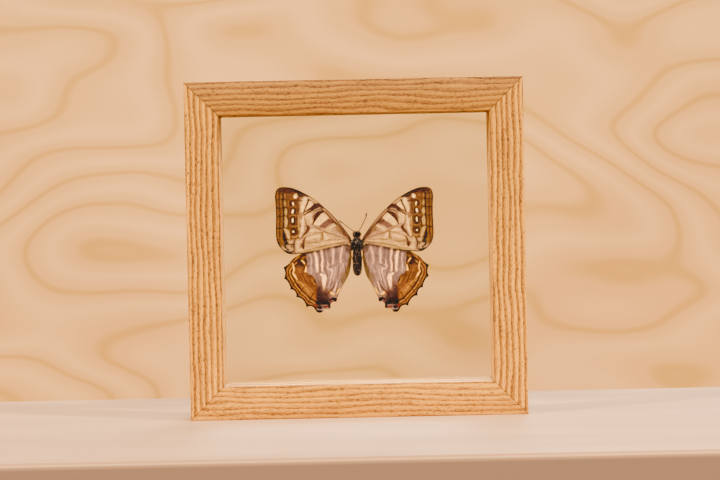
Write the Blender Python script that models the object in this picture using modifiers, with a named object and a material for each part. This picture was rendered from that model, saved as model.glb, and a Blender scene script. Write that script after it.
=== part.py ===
"""A spread butterfly held between two panes of glass in a small free-standing ash frame.

Metres, +Z up. The origin is on the surface that the frame stands on, under its centre. The front
faces -Y. The four rails are one mitred, grooved bar turned about the frame's centre. The two panes
sit in the grooves, and the butterfly hangs in the gap between them.
"""
import math

import bmesh
import bpy
from mathutils import Matrix, Vector

MM = 0.001

# Frame
FRAME_SIDE = 160 * MM
FRAME_DEPTH = 22 * MM
RAIL_WIDTH = 16 * MM
EDGE_EASE = 0.4 * MM
CLEARANCE = 0.3 * MM

# Panes
GLASS_THICKNESS = 2 * MM
GLASS_GAP = 6 * MM
GROOVE_DEPTH = 5 * MM

# Butterfly, placed by the middle of its thorax
THORAX_X = 0.3 * MM
THORAX_Z = 82.4 * MM
WING_THICKNESS = 0.4 * MM
FOREWING_Y = -0.75 * MM
HINDWING_Y = 0.0 * MM
RIGHT_FOREWING_SCALE = (0.952, 0.955)
RIGHT_HINDWING_SCALE = (0.968, 1.01)

# Outlines in millimetres, outwards and upwards from the middle of the thorax.
# "s" is a smooth point and "c" a corner.
FOREWING_OUTLINE = [
    (2.75, -0.3, "c"), (2.75, 2.5, "c"), (6.9, 8.3, "s"), (11.4, 13.7, "s"), (15.4, 17.6, "s"),
    (19.5, 21.1, "s"), (25.1, 24.6, "s"), (29.6, 26.7, "s"), (34.2, 27.5, "s"), (37.3, 26.8, "s"),
    (38.6, 24.4, "s"), (38.5, 19.5, "s"), (38.4, 14.0, "s"), (38.6, 7.5, "s"), (38.5, 2.8, "s"),
    (37.4, -0.5, "s"), (35.6, -2.6, "s"), (33.5, -4.2, "s"), (31.2, -4.8, "s"), (27.5, -4.5, "s"),
    (22.4, -4.0, "s"), (14.9, -2.2, "s"), (8.2, -0.9, "s"),
]
HINDWING_OUTLINE = [
    (2.75, -1.0, "c"), (8.5, 0.6, "s"), (16.0, 0.6, "s"), (22.5, -2.2, "s"), (27.8, -5.1, "s"),
    (30.9, -7.0, "s"), (32.9, -9.3, "s"), (34.9, -11.0, "s"), (34.6, -13.4, "s"), (34.9, -16.1, "c"),
    (33.4, -18.0, "s"), (31.9, -21.3, "c"), (30.2, -22.4, "s"), (29.2, -25.1, "c"), (26.5, -26.6, "s"),
    (24.6, -29.9, "c"), (22.3, -29.9, "s"), (21.0, -30.9, "s"), (19.9, -32.6, "s"), (18.5, -33.1, "s"),
    (17.1, -32.6, "s"), (16.2, -31.0, "c"), (14.6, -31.3, "s"), (13.2, -30.8, "s"), (13.3, -29.2, "c"),
    (12.3, -28.1, "s"), (10.3, -27.9, "c"), (9.3, -24.4, "s"), (6.5, -19.1, "s"), (4.4, -15.6, "s"),
    (3.3, -12.0, "s"), (2.75, -7.3, "s"),
]
WING_CURVE_STEPS = 3

# Body, as half-widths in millimetres at heights from the middle of the thorax
HEAD_AND_THORAX = [
    (0.0, 5.35), (0.7, 5.2), (1.25, 4.75), (1.5, 4.1), (1.4, 3.3), (1.0, 2.6), (1.15, 2.2),
    (1.75, 1.7), (2.2, 0.9), (2.4, -0.3), (2.35, -1.5), (2.1, -2.6), (1.75, -3.4),
]
ABDOMEN_TOP = -3.4
ABDOMEN_LENGTH = 12.3
ABDOMEN_RINGS = 9
ABDOMEN_HALF_WIDTH = 2.15
ABDOMEN_WAIST = 0.82
ABDOMEN_FULL_AT = 0.3
ABDOMEN_TIP_POWER = 5
RING_SWELL = 0.025
BODY_SIDES = 20
EYE_RADIUS = 0.85
EYE_PLACE = (1.0, -0.25, 4.1)

# Legs and antennae, as points in millimetres from the middle of the thorax: outwards, back, up
LEG_THICKNESS = 0.42
LEGS = {
    "middle": [(0.6, 1.6, -0.3), (2.7, 2.3, 1.5), (1.6, 2.3, -3.0), (1.05, 2.3, -6.4)],
    "hind": [(0.6, 1.6, -2.0), (3.0, 2.3, -3.6), (2.2, 2.3, -8.0), (1.6, 2.3, -11.6)],
}
ANTENNA_THICKNESS = 0.34
ANTENNA_CLUB = 2.2
ANTENNA_LEFT = [(-0.7, -1.15, 5.2), (-2.0, -1.5, 6.2), (-4.7, -1.75, 8.2), (-6.5, -1.75, 9.6),
                (-7.4, -1.75, 10.3), (-8.1, -1.75, 10.8), (-8.45, -1.75, 11.1)]
ANTENNA_RIGHT = [(0.7, -1.15, 5.25), (1.7, -1.5, 6.8), (3.3, -1.75, 9.8), (4.5, -1.75, 12.3),
                 (4.72, -1.75, 13.4), (4.65, -1.75, 14.2), (4.55, -1.75, 14.6)]


def clear_scene():
    for old in list(bpy.data.objects):
        bpy.data.objects.remove(old, do_unlink=True)


def collection(name):
    group = bpy.data.collections.new(name)
    bpy.context.scene.collection.children.link(group)
    return group


def principled(name, colour, roughness, transmission=0.0):
    material = bpy.data.materials.new(name)
    material.use_nodes = True
    shader = material.node_tree.nodes["Principled BSDF"]
    shader.inputs["Base Color"].default_value = (*colour, 1.0)
    shader.inputs["Roughness"].default_value = roughness
    shader.inputs["Metallic"].default_value = 0.0
    shader.inputs["Transmission Weight"].default_value = transmission
    return material


def mesh_object(name, mesh, group, material=None):
    piece = bpy.data.objects.new(name, mesh)
    if material:
        mesh.materials.append(material)
    group.objects.link(piece)
    return piece


def box_mesh(name, size, centre=(0, 0, 0)):
    shape = bmesh.new()
    bmesh.ops.create_cube(shape, size=1.0)
    bmesh.ops.scale(shape, vec=size, verts=shape.verts)
    bmesh.ops.translate(shape, vec=centre, verts=shape.verts)
    mesh = bpy.data.meshes.new(name)
    shape.to_mesh(mesh)
    shape.free()
    return mesh


def as_cutter(piece):
    piece.hide_render = True
    piece.display_type = "WIRE"
    return piece


def boolean(piece, other, operation):
    step = piece.modifiers.new(f"{operation.lower()} {other.name}", "BOOLEAN")
    step.operation = operation
    step.object = other


def applied_mesh(piece):
    """The piece's mesh with its modifiers, or its curve, worked out and its seams welded."""
    view = bpy.context.evaluated_depsgraph_get()
    mesh = bpy.data.meshes.new_from_object(piece.evaluated_get(view), depsgraph=view)
    shape = bmesh.new()
    shape.from_mesh(mesh)
    bmesh.ops.remove_doubles(shape, verts=shape.verts, dist=0.001 * MM)
    bmesh.ops.recalc_face_normals(shape, faces=shape.faces)
    shape.to_mesh(mesh)
    shape.free()
    return mesh


def rail_mesh(parts, cutters):
    """The bottom rail about the frame's centre: an eased bar, grooved twice, mitred at both ends."""
    height = -(FRAME_SIDE - RAIL_WIDTH) / 2
    bar = mesh_object("bar", box_mesh("bar", (FRAME_SIDE * 1.2, FRAME_DEPTH, RAIL_WIDTH),
                                      (0, 0, height)), parts)
    ease = bar.modifiers.new("eased edges", "BEVEL")
    ease.width = EDGE_EASE
    ease.segments = 2

    groove_width = GLASS_THICKNESS + 2 * CLEARANCE
    groove_top = height + RAIL_WIDTH / 2
    for side in (-1, 1):
        y = side * (GLASS_GAP + GLASS_THICKNESS) / 2
        size = (FRAME_SIDE * 1.4, groove_width, GROOVE_DEPTH * 2)
        groove = mesh_object(f"groove {side}", box_mesh("groove", size, (0, y, groove_top)), cutters)
        boolean(bar, as_cutter(groove), "DIFFERENCE")

    # Each mitre plane runs from the frame's centre to its corner, set back by half the joint's gap
    reach = FRAME_SIDE * 2
    for side in (-1, 1):
        size = (reach, FRAME_DEPTH * 2, reach)
        waste = mesh_object(f"mitre {side}", box_mesh("mitre", size, (0, 0, reach / 2)), cutters)
        waste.matrix_world = (Matrix.Rotation(side * math.radians(45), 4, "Y")
                              @ Matrix.Translation((0, 0, -CLEARANCE / 2)))
        boolean(bar, as_cutter(waste), "DIFFERENCE")

    bpy.context.view_layer.update()
    mesh = applied_mesh(bar)
    bpy.data.objects.remove(bar, do_unlink=True)
    return mesh


def make_frame(parts, cutters):
    """Four ash rails, each the same bar turned by a quarter turn about the frame's centre."""
    shape = rail_mesh(parts, cutters)
    for turn, name in enumerate(("bottom_rail", "left_stile", "top_rail", "right_stile")):
        rail = mesh_object(name, shape.copy(), parts, principled(f"{name} ash", (0.72, 0.45, 0.22), 0.45))
        rail.location = (0, 0, FRAME_SIDE / 2)
        rail.rotation_euler = (0, math.radians(90 * turn), 0)


def make_panes(parts):
    """Two square panes whose edges stand in the grooves, clear of the wood all round."""
    side = FRAME_SIDE - 2 * RAIL_WIDTH + 2 * (GROOVE_DEPTH - CLEARANCE)
    for name, facing in (("front_glass", -1), ("back_glass", 1)):
        pane = mesh_object(name, box_mesh(name, (side, GLASS_THICKNESS, side)), parts,
                           principled(f"{name} sheet", (0.93, 0.96, 0.93), 0.02, 1.0))
        pane.location = (0, facing * (GLASS_GAP + GLASS_THICKNESS) / 2, FRAME_SIDE / 2)


def make_wing(name, outline, side, scale, depth, colour, parts):
    """A flat blade: the outline as a closed Bezier curve, filled and extruded both ways."""
    curve = bpy.data.curves.new(name, "CURVE")
    curve.dimensions = "2D"
    curve.fill_mode = "BOTH"
    curve.resolution_u = WING_CURVE_STEPS
    curve.extrude = WING_THICKNESS / 2
    spline = curve.splines.new("BEZIER")
    spline.bezier_points.add(len(outline) - 1)
    for point, (out, up, kind) in zip(spline.bezier_points, outline):
        point.co = (side * out * scale[0] * MM, up * scale[1] * MM, 0)
        handle = "AUTO" if kind == "s" else "VECTOR"
        point.handle_left_type = handle
        point.handle_right_type = handle
    spline.use_cyclic_u = True
    curve.materials.append(principled(f"{name} scales", colour, 0.8))
    wing = bpy.data.objects.new(name, curve)
    wing.location = (THORAX_X, depth, THORAX_Z)
    wing.rotation_euler = (math.radians(90), 0, 0)
    parts.objects.link(wing)


def stalk(name, points, thickness, swell):
    """A thin round stalk through the points, its radius at each point times that point's swell."""
    curve = bpy.data.curves.new(name, "CURVE")
    curve.dimensions = "3D"
    curve.bevel_depth = thickness / 2 * MM
    curve.bevel_resolution = 2
    curve.use_fill_caps = True
    curve.resolution_u = 4
    spline = curve.splines.new("BEZIER")
    spline.bezier_points.add(len(points) - 1)
    for point, place, factor in zip(spline.bezier_points, points, swell):
        point.co = Vector(place) * MM
        point.radius = factor
        point.handle_left_type = "AUTO"
        point.handle_right_type = "AUTO"
    return curve


def make_antennae(parts):
    """Two stalks from the head's crown, each swelling to a slim club."""
    swell = (1.1, 1.0, 1.0, 1.05, ANTENNA_CLUB, ANTENNA_CLUB, 0.6)
    for name, points in (("antenna_left", ANTENNA_LEFT), ("antenna_right", ANTENNA_RIGHT)):
        curve = stalk(name, points, ANTENNA_THICKNESS, swell)
        curve.materials.append(principled(f"{name} horn", (0.05, 0.03, 0.02), 0.5))
        antenna = bpy.data.objects.new(name, curve)
        antenna.location = (THORAX_X, 0, THORAX_Z)
        parts.objects.link(antenna)


def body_profile():
    """Half-widths from the crown of the head to the rounded tip of the ringed abdomen."""
    profile = list(HEAD_AND_THORAX)
    steps_per_ring = 2
    steps = ABDOMEN_RINGS * steps_per_ring
    for step in range(1, steps):
        along = step / steps
        waist = ABDOMEN_WAIST + (1 - ABDOMEN_WAIST) * math.sin(math.pi / 2 * min(1, along / ABDOMEN_FULL_AT))
        past = max(0, along - ABDOMEN_FULL_AT) / (1 - ABDOMEN_FULL_AT)
        rounding = math.sqrt(1 - past ** ABDOMEN_TIP_POWER)
        ring = 1 + RING_SWELL * (1 if step % steps_per_ring else -1)
        profile.append((ABDOMEN_HALF_WIDTH * waist * rounding * ring, ABDOMEN_TOP - ABDOMEN_LENGTH * along))
    profile.append((0.0, ABDOMEN_TOP - ABDOMEN_LENGTH))
    return profile


def make_body(parts, cutters):
    """Head, thorax and abdomen turned as one, with the eyes and the folded legs joined on."""
    turned = bmesh.new()
    points = [turned.verts.new((radius * MM, 0, height * MM)) for radius, height in body_profile()]
    for upper, lower in zip(points, points[1:]):
        turned.edges.new((upper, lower))
    mesh = bpy.data.meshes.new("butterfly_body")
    turned.to_mesh(mesh)
    turned.free()
    body = mesh_object("butterfly_body", mesh, parts, principled("butterfly hair", (0.03, 0.025, 0.02), 0.85))
    body.location = (THORAX_X, 0, THORAX_Z)
    screw = body.modifiers.new("turned", "SCREW")
    screw.axis = "Z"
    screw.steps = BODY_SIDES
    screw.render_steps = BODY_SIDES
    screw.use_merge_vertices = True
    screw.merge_threshold = 0.001 * MM

    for side, word in ((-1, "left"), (1, "right")):
        ball = bmesh.new()
        bmesh.ops.create_uvsphere(ball, u_segments=12, v_segments=8, radius=EYE_RADIUS * MM)
        eye_mesh = bpy.data.meshes.new(f"eye {word}")
        ball.to_mesh(eye_mesh)
        ball.free()
        eye = mesh_object(f"eye {word}", eye_mesh, cutters)
        out, back, up = EYE_PLACE
        eye.location = (THORAX_X + side * out * MM, back * MM, THORAX_Z + up * MM)
        boolean(body, as_cutter(eye), "UNION")
        for pair, points in LEGS.items():
            name = f"leg {pair} {word}"
            route = [(side * out, back, up) for out, back, up in points]
            curve = bpy.data.objects.new(name, stalk(name, route, LEG_THICKNESS, (1.3, 1.1, 0.8, 0.6)))
            cutters.objects.link(curve)
            bpy.context.view_layer.update()
            leg = mesh_object(f"{name} solid", applied_mesh(curve), cutters)
            bpy.data.objects.remove(curve, do_unlink=True)
            leg.location = (THORAX_X, 0, THORAX_Z)
            boolean(body, as_cutter(leg), "UNION")


clear_scene()
model = collection("framed butterfly")
helpers = collection("cutters")
make_frame(model, helpers)
make_panes(model)
for wing_side, word, forewing_scale, hindwing_scale in (
        (-1, "left", (1, 1), (1, 1)),
        (1, "right", RIGHT_FOREWING_SCALE, RIGHT_HINDWING_SCALE)):
    make_wing(f"forewing_{word}", FOREWING_OUTLINE, wing_side, forewing_scale, FOREWING_Y,
              (0.62, 0.42, 0.24), model)
    make_wing(f"hindwing_{word}", HINDWING_OUTLINE, wing_side, hindwing_scale, HINDWING_Y,
              (0.50, 0.28, 0.12), model)
make_body(model, helpers)
make_antennae(model)
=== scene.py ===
import math
from functools import partial

import bmesh
import bpy
import numpy as np
from mathutils import Matrix, Vector
from mathutils.geometry import delaunay_2d_cdt


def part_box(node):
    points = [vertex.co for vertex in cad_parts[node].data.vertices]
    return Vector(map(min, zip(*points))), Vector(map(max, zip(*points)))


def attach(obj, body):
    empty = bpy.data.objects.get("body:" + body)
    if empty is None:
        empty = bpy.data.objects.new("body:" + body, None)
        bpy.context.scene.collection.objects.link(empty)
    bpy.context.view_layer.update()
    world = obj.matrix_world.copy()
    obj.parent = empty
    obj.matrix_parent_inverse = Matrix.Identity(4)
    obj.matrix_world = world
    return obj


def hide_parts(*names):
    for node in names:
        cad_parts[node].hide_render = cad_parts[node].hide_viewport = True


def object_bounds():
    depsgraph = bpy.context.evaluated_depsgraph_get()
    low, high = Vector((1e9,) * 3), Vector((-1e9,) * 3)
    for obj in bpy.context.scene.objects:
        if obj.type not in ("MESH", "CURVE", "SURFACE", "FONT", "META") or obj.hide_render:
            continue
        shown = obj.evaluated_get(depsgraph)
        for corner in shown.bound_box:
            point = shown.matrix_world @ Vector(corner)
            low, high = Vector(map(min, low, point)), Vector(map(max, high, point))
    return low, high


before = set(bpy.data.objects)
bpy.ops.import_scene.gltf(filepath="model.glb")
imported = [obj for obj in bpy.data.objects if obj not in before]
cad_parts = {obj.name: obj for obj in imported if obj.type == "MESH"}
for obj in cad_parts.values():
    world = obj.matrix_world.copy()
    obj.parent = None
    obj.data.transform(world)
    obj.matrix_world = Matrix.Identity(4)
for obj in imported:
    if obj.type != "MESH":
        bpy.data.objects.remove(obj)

MM = 0.001
cad_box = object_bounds()

# The view. A long lens looks almost level at the front of the frame from 0.8 m away,
# turned and tipped by a degree or so as the photograph is.
CAMERA_PLACE = Vector((-0.9, -813.5, 104.7)) * MM
TURN, PITCH, ROLL = (math.radians(angle) for angle in (0.19, -1.47, -1.16))
lens = bpy.data.cameras.new("camera")
lens.sensor_width = 36
lens.lens = 85
lens.clip_start = 0.01
camera = bpy.data.objects.new("camera", lens)
camera.matrix_world = (Matrix.Translation(CAMERA_PLACE) @ Matrix.Rotation(-TURN, 4, "Z")
                       @ Matrix.Rotation(math.pi / 2 + PITCH, 4, "X") @ Matrix.Rotation(ROLL, 4, "Z"))
bpy.context.scene.collection.objects.link(camera)
bpy.context.scene.camera = camera

# The shelf. A board of birch ply, its faces sanded and its edges just broken. It is stage, as the
# wall and the light are.
SHELF_FRONT, SHELF_BACK, SHELF_HALF, SHELF_THICK, SHELF_BROKEN = -133, 84, 1000, 24, 1.5
SHELF_TONES = ("AD8254", "C29260")
SHELF_EDGE = "6F5239"


def srgb(code):
    """An sRGB hex colour as linear red, green and blue."""
    parts = [int(code[i:i + 2], 16) / 255 for i in (0, 2, 4)]
    return np.array([c / 12.92 if c <= 0.04045 else ((c + 0.055) / 1.055) ** 2.4 for c in parts])


def feed(target, inputs):
    """Gives a node's inputs, by name or place, a value, a hex colour or the output that drives them."""
    for key, value in inputs.items():
        socket = target.inputs[key]
        if isinstance(value, bpy.types.NodeSocket):
            target.id_data.links.new(value, socket)
        else:
            socket.default_value = (*srgb(value), 1) if isinstance(value, str) else value


def node(tree, kind, *feeds, out=0, stops=(), **settings):
    """Adds a shader node and returns one of its outputs. Feeds go to its inputs in their order.
    Settings are its properties, or inputs by name. Stops are a colour ramp's places and colours."""
    added = tree.nodes.new(f"ShaderNode{kind}")
    for name in [name for name in settings if hasattr(added, name)]:
        setattr(added, name, settings.pop(name))
    feed(added, dict(enumerate(feeds)))
    feed(added, {name.replace("_", " "): value for name, value in settings.items()})
    for _ in stops[2:]:
        added.color_ramp.elements.new(0.5)
    for i, (place, code) in enumerate(stops):
        added.color_ramp.elements[i].position = place
        added.color_ramp.elements[i].color = (*srgb(code), 1)
    return added.outputs[out]


def new_material(name):
    """A node material, what adds its nodes, its Principled shader, and object coordinates in mm."""
    material = bpy.data.materials.new(name)
    material.use_nodes = True
    add = partial(node, material.node_tree)
    place = add("VectorMath", add("TexCoord", out="Object"), operation="SCALE", Scale=1 / MM)
    return material, add, material.node_tree.nodes["Principled BSDF"], place


def mesh_object(name, mesh, material):
    """A new object for a mesh, smooth but for its sharp edges."""
    mesh.materials.append(material)
    mesh.shade_smooth()
    mesh.set_sharp_from_angle(angle=math.radians(35))
    made = bpy.data.objects.new(name, mesh)
    bpy.context.scene.collection.objects.link(made)
    return made


def to_mesh(shape, name):
    """The finished bmesh as a mesh, its faces turned outwards."""
    bmesh.ops.recalc_face_normals(shape, faces=shape.faces)
    mesh = bpy.data.meshes.new(name)
    shape.to_mesh(mesh)
    shape.free()
    return mesh


def shelf_ply():
    """Sanded birch ply, pale and matt, with hardly any figure and a darker edge."""
    material, add, shader, place = new_material("pale birch shelf")
    drawn = add("VectorMath", place, (0.004, 0.03, 0.03), operation="MULTIPLY")
    grain = add("TexNoise", drawn, Scale=1.0, Detail=3.0)
    face = add("ValToRGB", grain, stops=[(0.3, SHELF_TONES[0]), (0.7, SHELF_TONES[1])])
    level = add("MapRange", add("SeparateXYZ", place, out="Z"), -3.0, -0.5)
    edged = add("Mix", data_type="RGBA", Factor=level, A=SHELF_EDGE, B=face, out="Result")
    feed(shader, {"Base Color": edged, "Roughness": 0.7})
    return material


board = bmesh.new()
middle = Vector((0, (SHELF_BACK + SHELF_FRONT) / 2, -SHELF_THICK / 2)) * MM
size = Vector((2 * SHELF_HALF, SHELF_BACK - SHELF_FRONT, SHELF_THICK)) * MM
bmesh.ops.create_cube(board, size=1.0, matrix=Matrix.Translation(middle) @ Matrix.Diagonal((*size, 1)))
bmesh.ops.bevel(board, geom=board.edges, offset=SHELF_BROKEN * MM, segments=3, affect="EDGES")
mesh_object("shelf", to_mesh(board, "shelf"), shelf_ply())

# The wall. More of the same ply, bent up from a floor all round, far enough out to stay behind
# every view.
WALL_RADIUS, WALL_TOP, WALL_FOOT, WALL_SWEEP = 1300, 420, -760, 400
WALL_TONES = ("B28226", "C39043", "CD9B51")
PAINTED_ROOM_SHADE = "2E251D"
DARK_PLACE, DARK_NEAR, DARK_FAR = (0, -1300, 40), 380, 900


def wall_ply():
    """Birch ply with wide wavy figure, drawn soft and over twice its real size, as the wall stands
    farther off than the photograph's and well out of its focus. Straight in front of the panes it
    is painted dark, a painted shade that stands for the dim room there, so that they have little to mirror."""
    material, add, shader, place = new_material("soft birch wall")
    drawn = add("VectorMath", place, (1.0, 1.0, 2.0), operation="MULTIPLY")
    hills = add("TexNoise", drawn, Scale=0.0017, Detail=2.0, Roughness=0.45)
    rings = add("Math", add("Math", hills, 15.0, operation="MULTIPLY"), operation="FRACT")
    line, edge, field = WALL_TONES
    figure = add("ValToRGB", rings,
                 stops=[(0.0, line), (0.14, edge), (0.45, field), (0.86, edge), (1.0, line)])
    figure.node.color_ramp.interpolation = "EASE"
    # Painted shade: the wall straight in front of the panes is made dark to stand for the dim room
    away = add("VectorMath", place, DARK_PLACE, operation="DISTANCE", out="Value")
    near = add("MapRange", away, DARK_NEAR, DARK_FAR, interpolation_type="SMOOTHSTEP")
    shown = add("Mix", data_type="RGBA", Factor=near, A=PAINTED_ROOM_SHADE, B=figure, out="Result")
    feed(shader, {"Base Color": shown, "Roughness": 0.9})
    return material


bowl = bmesh.new()
foot = WALL_RADIUS - WALL_SWEEP
sweep = [(foot + WALL_SWEEP * math.sin(turn), WALL_FOOT + WALL_SWEEP * (1 - math.cos(turn)))
         for turn in np.linspace(0, math.pi / 2, 13)]
points = [bowl.verts.new(Vector((radius, 0, height)) * MM)
          for radius, height in [(0, WALL_FOOT), *sweep, (WALL_RADIUS, WALL_TOP)]]
edges = [bowl.edges.new(pair) for pair in zip(points, points[1:])]
bmesh.ops.spin(bowl, geom=points + edges, axis=(0, 0, 1), cent=(0, 0, 0), steps=72, angle=math.tau)
bmesh.ops.remove_doubles(bowl, verts=bowl.verts, dist=0.01 * MM)
mesh_object("wall", to_mesh(bowl, "wall"), wall_ply())

# The light. A broad high light from in front, two lower ones from either side that lay the soft
# shadows along the shelf, one from behind for the back views, and a dim warm room.
ROOM_LIGHT, ROOM_GLOW, LAMP_TONE = 0.25, "FFEBD6", "FFF1E2"
world = bpy.data.worlds.new("dim warm room")
bpy.context.scene.world = world
world.use_nodes = True
feed(world.node_tree.nodes["Background"], {"Color": ROOM_GLOW, "Strength": ROOM_LIGHT})
for name, azimuth, elevation, spread, power in (("front", 8, 42, 50, 6.1), ("left", -64, 31, 5, 7.2),
                                                ("right", 65, 31, 5, 7.0), ("back", 165, 36, 30, 4.2)):
    lamp = bpy.data.lights.new(name, "SUN")
    lamp.energy = power
    lamp.angle = math.radians(spread)
    lamp.color = srgb(LAMP_TONE)
    lamp_object = bpy.data.objects.new(name, lamp)
    lamp_object.rotation_euler = (math.radians(90 - elevation), 0, math.radians(azimuth))
    bpy.context.scene.collection.objects.link(lamp_object)

# The four rails. Each is one straight-grained ash bar, planed, its edges just broken with fine
# paper, grooved twice for the panes, mitred and glued, then oiled.
FRAME_SIDE = (cad_box[1][0] - cad_box[0][0]) / MM
FRAME_DEPTH = (cad_box[1][1] - cad_box[0][1]) / MM
RAIL_WIDTH = (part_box("bottom_rail")[1].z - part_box("bottom_rail")[0].z) / MM
GLASS_NEAR, GLASS_FAR = (-corner.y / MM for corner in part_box("front_glass"))
GROOVE_SLACK, GROOVE_DEEP = 0.2, 5.0
EASED, EASE_STEPS, MITRE_EASE = 0.45, 4, 0.1
RING_SPACING = 2.7
GLUE_LINE, GLUE_TONE = (0.1, 0.42), "351607"


def rail_profile():
    """The bar's section as (depth, distance in from the frame's outer side), grooves on the inner side."""
    deep, high, low = FRAME_DEPTH / 2 - EASED, RAIL_WIDTH - EASED, EASED
    profile = []
    for middle, start in (((deep, high), 90), ((deep, low), 0), ((-deep, low), -90), ((-deep, high), -180)):
        for step in range(EASE_STEPS + 1):
            angle = math.radians(start - 90 * step / EASE_STEPS)
            profile.append((middle[0] + EASED * math.cos(angle), middle[1] + EASED * math.sin(angle)))
    floor = RAIL_WIDTH - GROOVE_DEEP
    for facing in (-1, 1):
        inner, outer = sorted((facing * (GLASS_NEAR + GROOVE_SLACK), facing * (GLASS_FAR - GROOVE_SLACK)))
        profile += [(inner, RAIL_WIDTH), (inner, floor), (outer, floor), (outer, RAIL_WIDTH)]
    return profile


def rail_mesh(name, turn):
    """The profile run from mitre to mitre, turned by quarter turns to its side of the frame."""
    shape = bmesh.new()
    spin = Matrix.Rotation(math.radians(90 * turn), 4, "Y")
    middle = Vector((0, 0, FRAME_SIDE / 2))
    ends = []
    for end in (-1, 1):
        ends.append([])
        for deep, across in rail_profile():
            face = across < 0.01 or across > RAIL_WIDTH - 0.01
            reach = FRAME_SIDE / 2 - across - (MITRE_EASE if face else 0)
            spot = Vector((end * reach, deep, across - FRAME_SIDE / 2))
            ends[-1].append(shape.verts.new((spin @ spot + middle) * MM))
    first, last = ends
    for a, b, c, d in zip(first, first[1:] + first[:1], last[1:] + last[:1], last):
        shape.faces.new((a, b, c, d))
    shape.faces.new(first[::-1])
    shape.faces.new(last)
    return to_mesh(shape, name)


def oiled_ash(name, upright, tones, tilt, wave, shift):
    """Straight-grained ash, planed and oiled. It gives pale bands with dark rows of open pores in
    each year's ring, about 2.7 mm apart, and a low sheen. Pores are drawn about 0.3 mm wide, over
    their real width, so that they show."""
    material, add, shader, place = new_material(name)
    x, y, z = add("SeparateXYZ", place).node.outputs
    run = add("CombineXYZ", *((z, x, y) if upright else (x, z, y)))
    run = add("VectorMath", run, (shift * 37.0, shift * 11.0, shift * 5.0), operation="ADD")

    def drawn_out(length, width, thick, detail=2.0, rough=0.5):
        """Noise in blots of this length along the bar and this width and thickness, in mm."""
        spread = add("VectorMath", run, (1 / length, 1 / width, 1 / thick), operation="MULTIPLY")
        return add("TexNoise", spread, Scale=1.0, Detail=detail, Roughness=rough)

    # Where each place stands in the run of yearly rings
    wander = add("Math", drawn_out(45, 14, 30), wave, -wave / 2, operation="MULTIPLY_ADD")
    ripple = add("Math", drawn_out(11, 2.5, 6), 0.9, -0.45, operation="MULTIPLY_ADD")
    slant = add("VectorMath", run, (0, math.cos(tilt), math.sin(tilt)), operation="DOT_PRODUCT", out="Value")
    depth = add("Math", add("Math", slant, wander), ripple)
    years = add("Math", depth, RING_SPACING * math.cos(tilt), operation="DIVIDE")
    ring = add("Math", years, operation="FRACT")
    line, early_wood, mid, late_wood, pore = tones
    wood = add("ValToRGB", ring, stops=[(0.0, line), (0.2, early_wood), (0.42, mid), (0.62, late_wood),
                                        (0.9, late_wood), (1.0, line)])

    # Rows of pores cut lengthwise, crowded in the first third of each ring and few after it
    early = add("MapRange", ring, 0.12, 0.5, 1.0, 0.0, interpolation_type="SMOOTHSTEP")
    long, short = drawn_out(1.7, 0.36, 0.36, 1.0), drawn_out(0.9, 0.26, 0.26, 1.0)
    dashes = add("Math", long, 0.6, add("Math", short, 0.4, -0.5, operation="MULTIPLY_ADD"),
                 operation="MULTIPLY_ADD")
    uneven = add("Math", drawn_out(12, 4, 4), 0.5, -0.25, operation="MULTIPLY_ADD")
    crowd = add("Math", early, 0.26, uneven, operation="MULTIPLY_ADD")
    crowd = add("Math", dashes, 3.2, crowd, operation="MULTIPLY_ADD")
    pores = add("MapRange", crowd, 0.22, 0.36, interpolation_type="SMOOTHSTEP")
    filled = add("Math", pores, 0.88, operation="MULTIPLY")
    porous = add("Mix", data_type="RGBA", Factor=filled, A=wood, B=pore, out="Result")

    # Fine fibres, and broad drifts of tone from one part of the bar to the next
    fibre = drawn_out(14, 0.35, 0.35, 3.0, 0.6)
    broad = add("Math", drawn_out(60, 9, 9, 1.0), 0.4, operation="MULTIPLY")
    shade = add("ValToRGB", add("Math", fibre, 0.6, broad, operation="MULTIPLY_ADD"),
                stops=[(0.32, "C8BCAE"), (0.5, "F0EEEA"), (0.66, "FFFFFF")])
    toned = add("Mix", data_type="RGBA", blend_type="MULTIPLY", Factor=1.0, A=porous, B=shade, out="Result")

    # The glue line: end grain at the mitre drinks more oil and shows as a thin dark line
    rise = add("Math", add("Math", z, FRAME_SIDE / 2, operation="SUBTRACT"), operation="ABSOLUTE")
    side = add("Math", x, operation="ABSOLUTE")
    off_mitre = add("Math", add("Math", rise, side, operation="SUBTRACT"), operation="ABSOLUTE")
    joint = add("MapRange", off_mitre, *GLUE_LINE, 0.75, 0.0, interpolation_type="SMOOTHSTEP")
    finished = add("Mix", data_type="RGBA", Factor=joint, A=toned, B=GLUE_TONE, out="Result")
    sunk = add("Math", pores, -1.0, add("Math", fibre, 0.35, operation="MULTIPLY"), operation="MULTIPLY_ADD")
    feed(shader, {"Base Color": finished, "Roughness": add("MapRange", pores, To_Min=0.46, To_Max=0.7),
                  "Normal": add("Bump", Height=sunk, Strength=0.25, Distance=0.00008),
                  "Specular IOR Level": 0.2})
    return material


def dress(piece, solid):
    """The piece rides on the part's one body, in the place of its solid, which it hides."""
    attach(piece, "root")
    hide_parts(solid)


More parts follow.
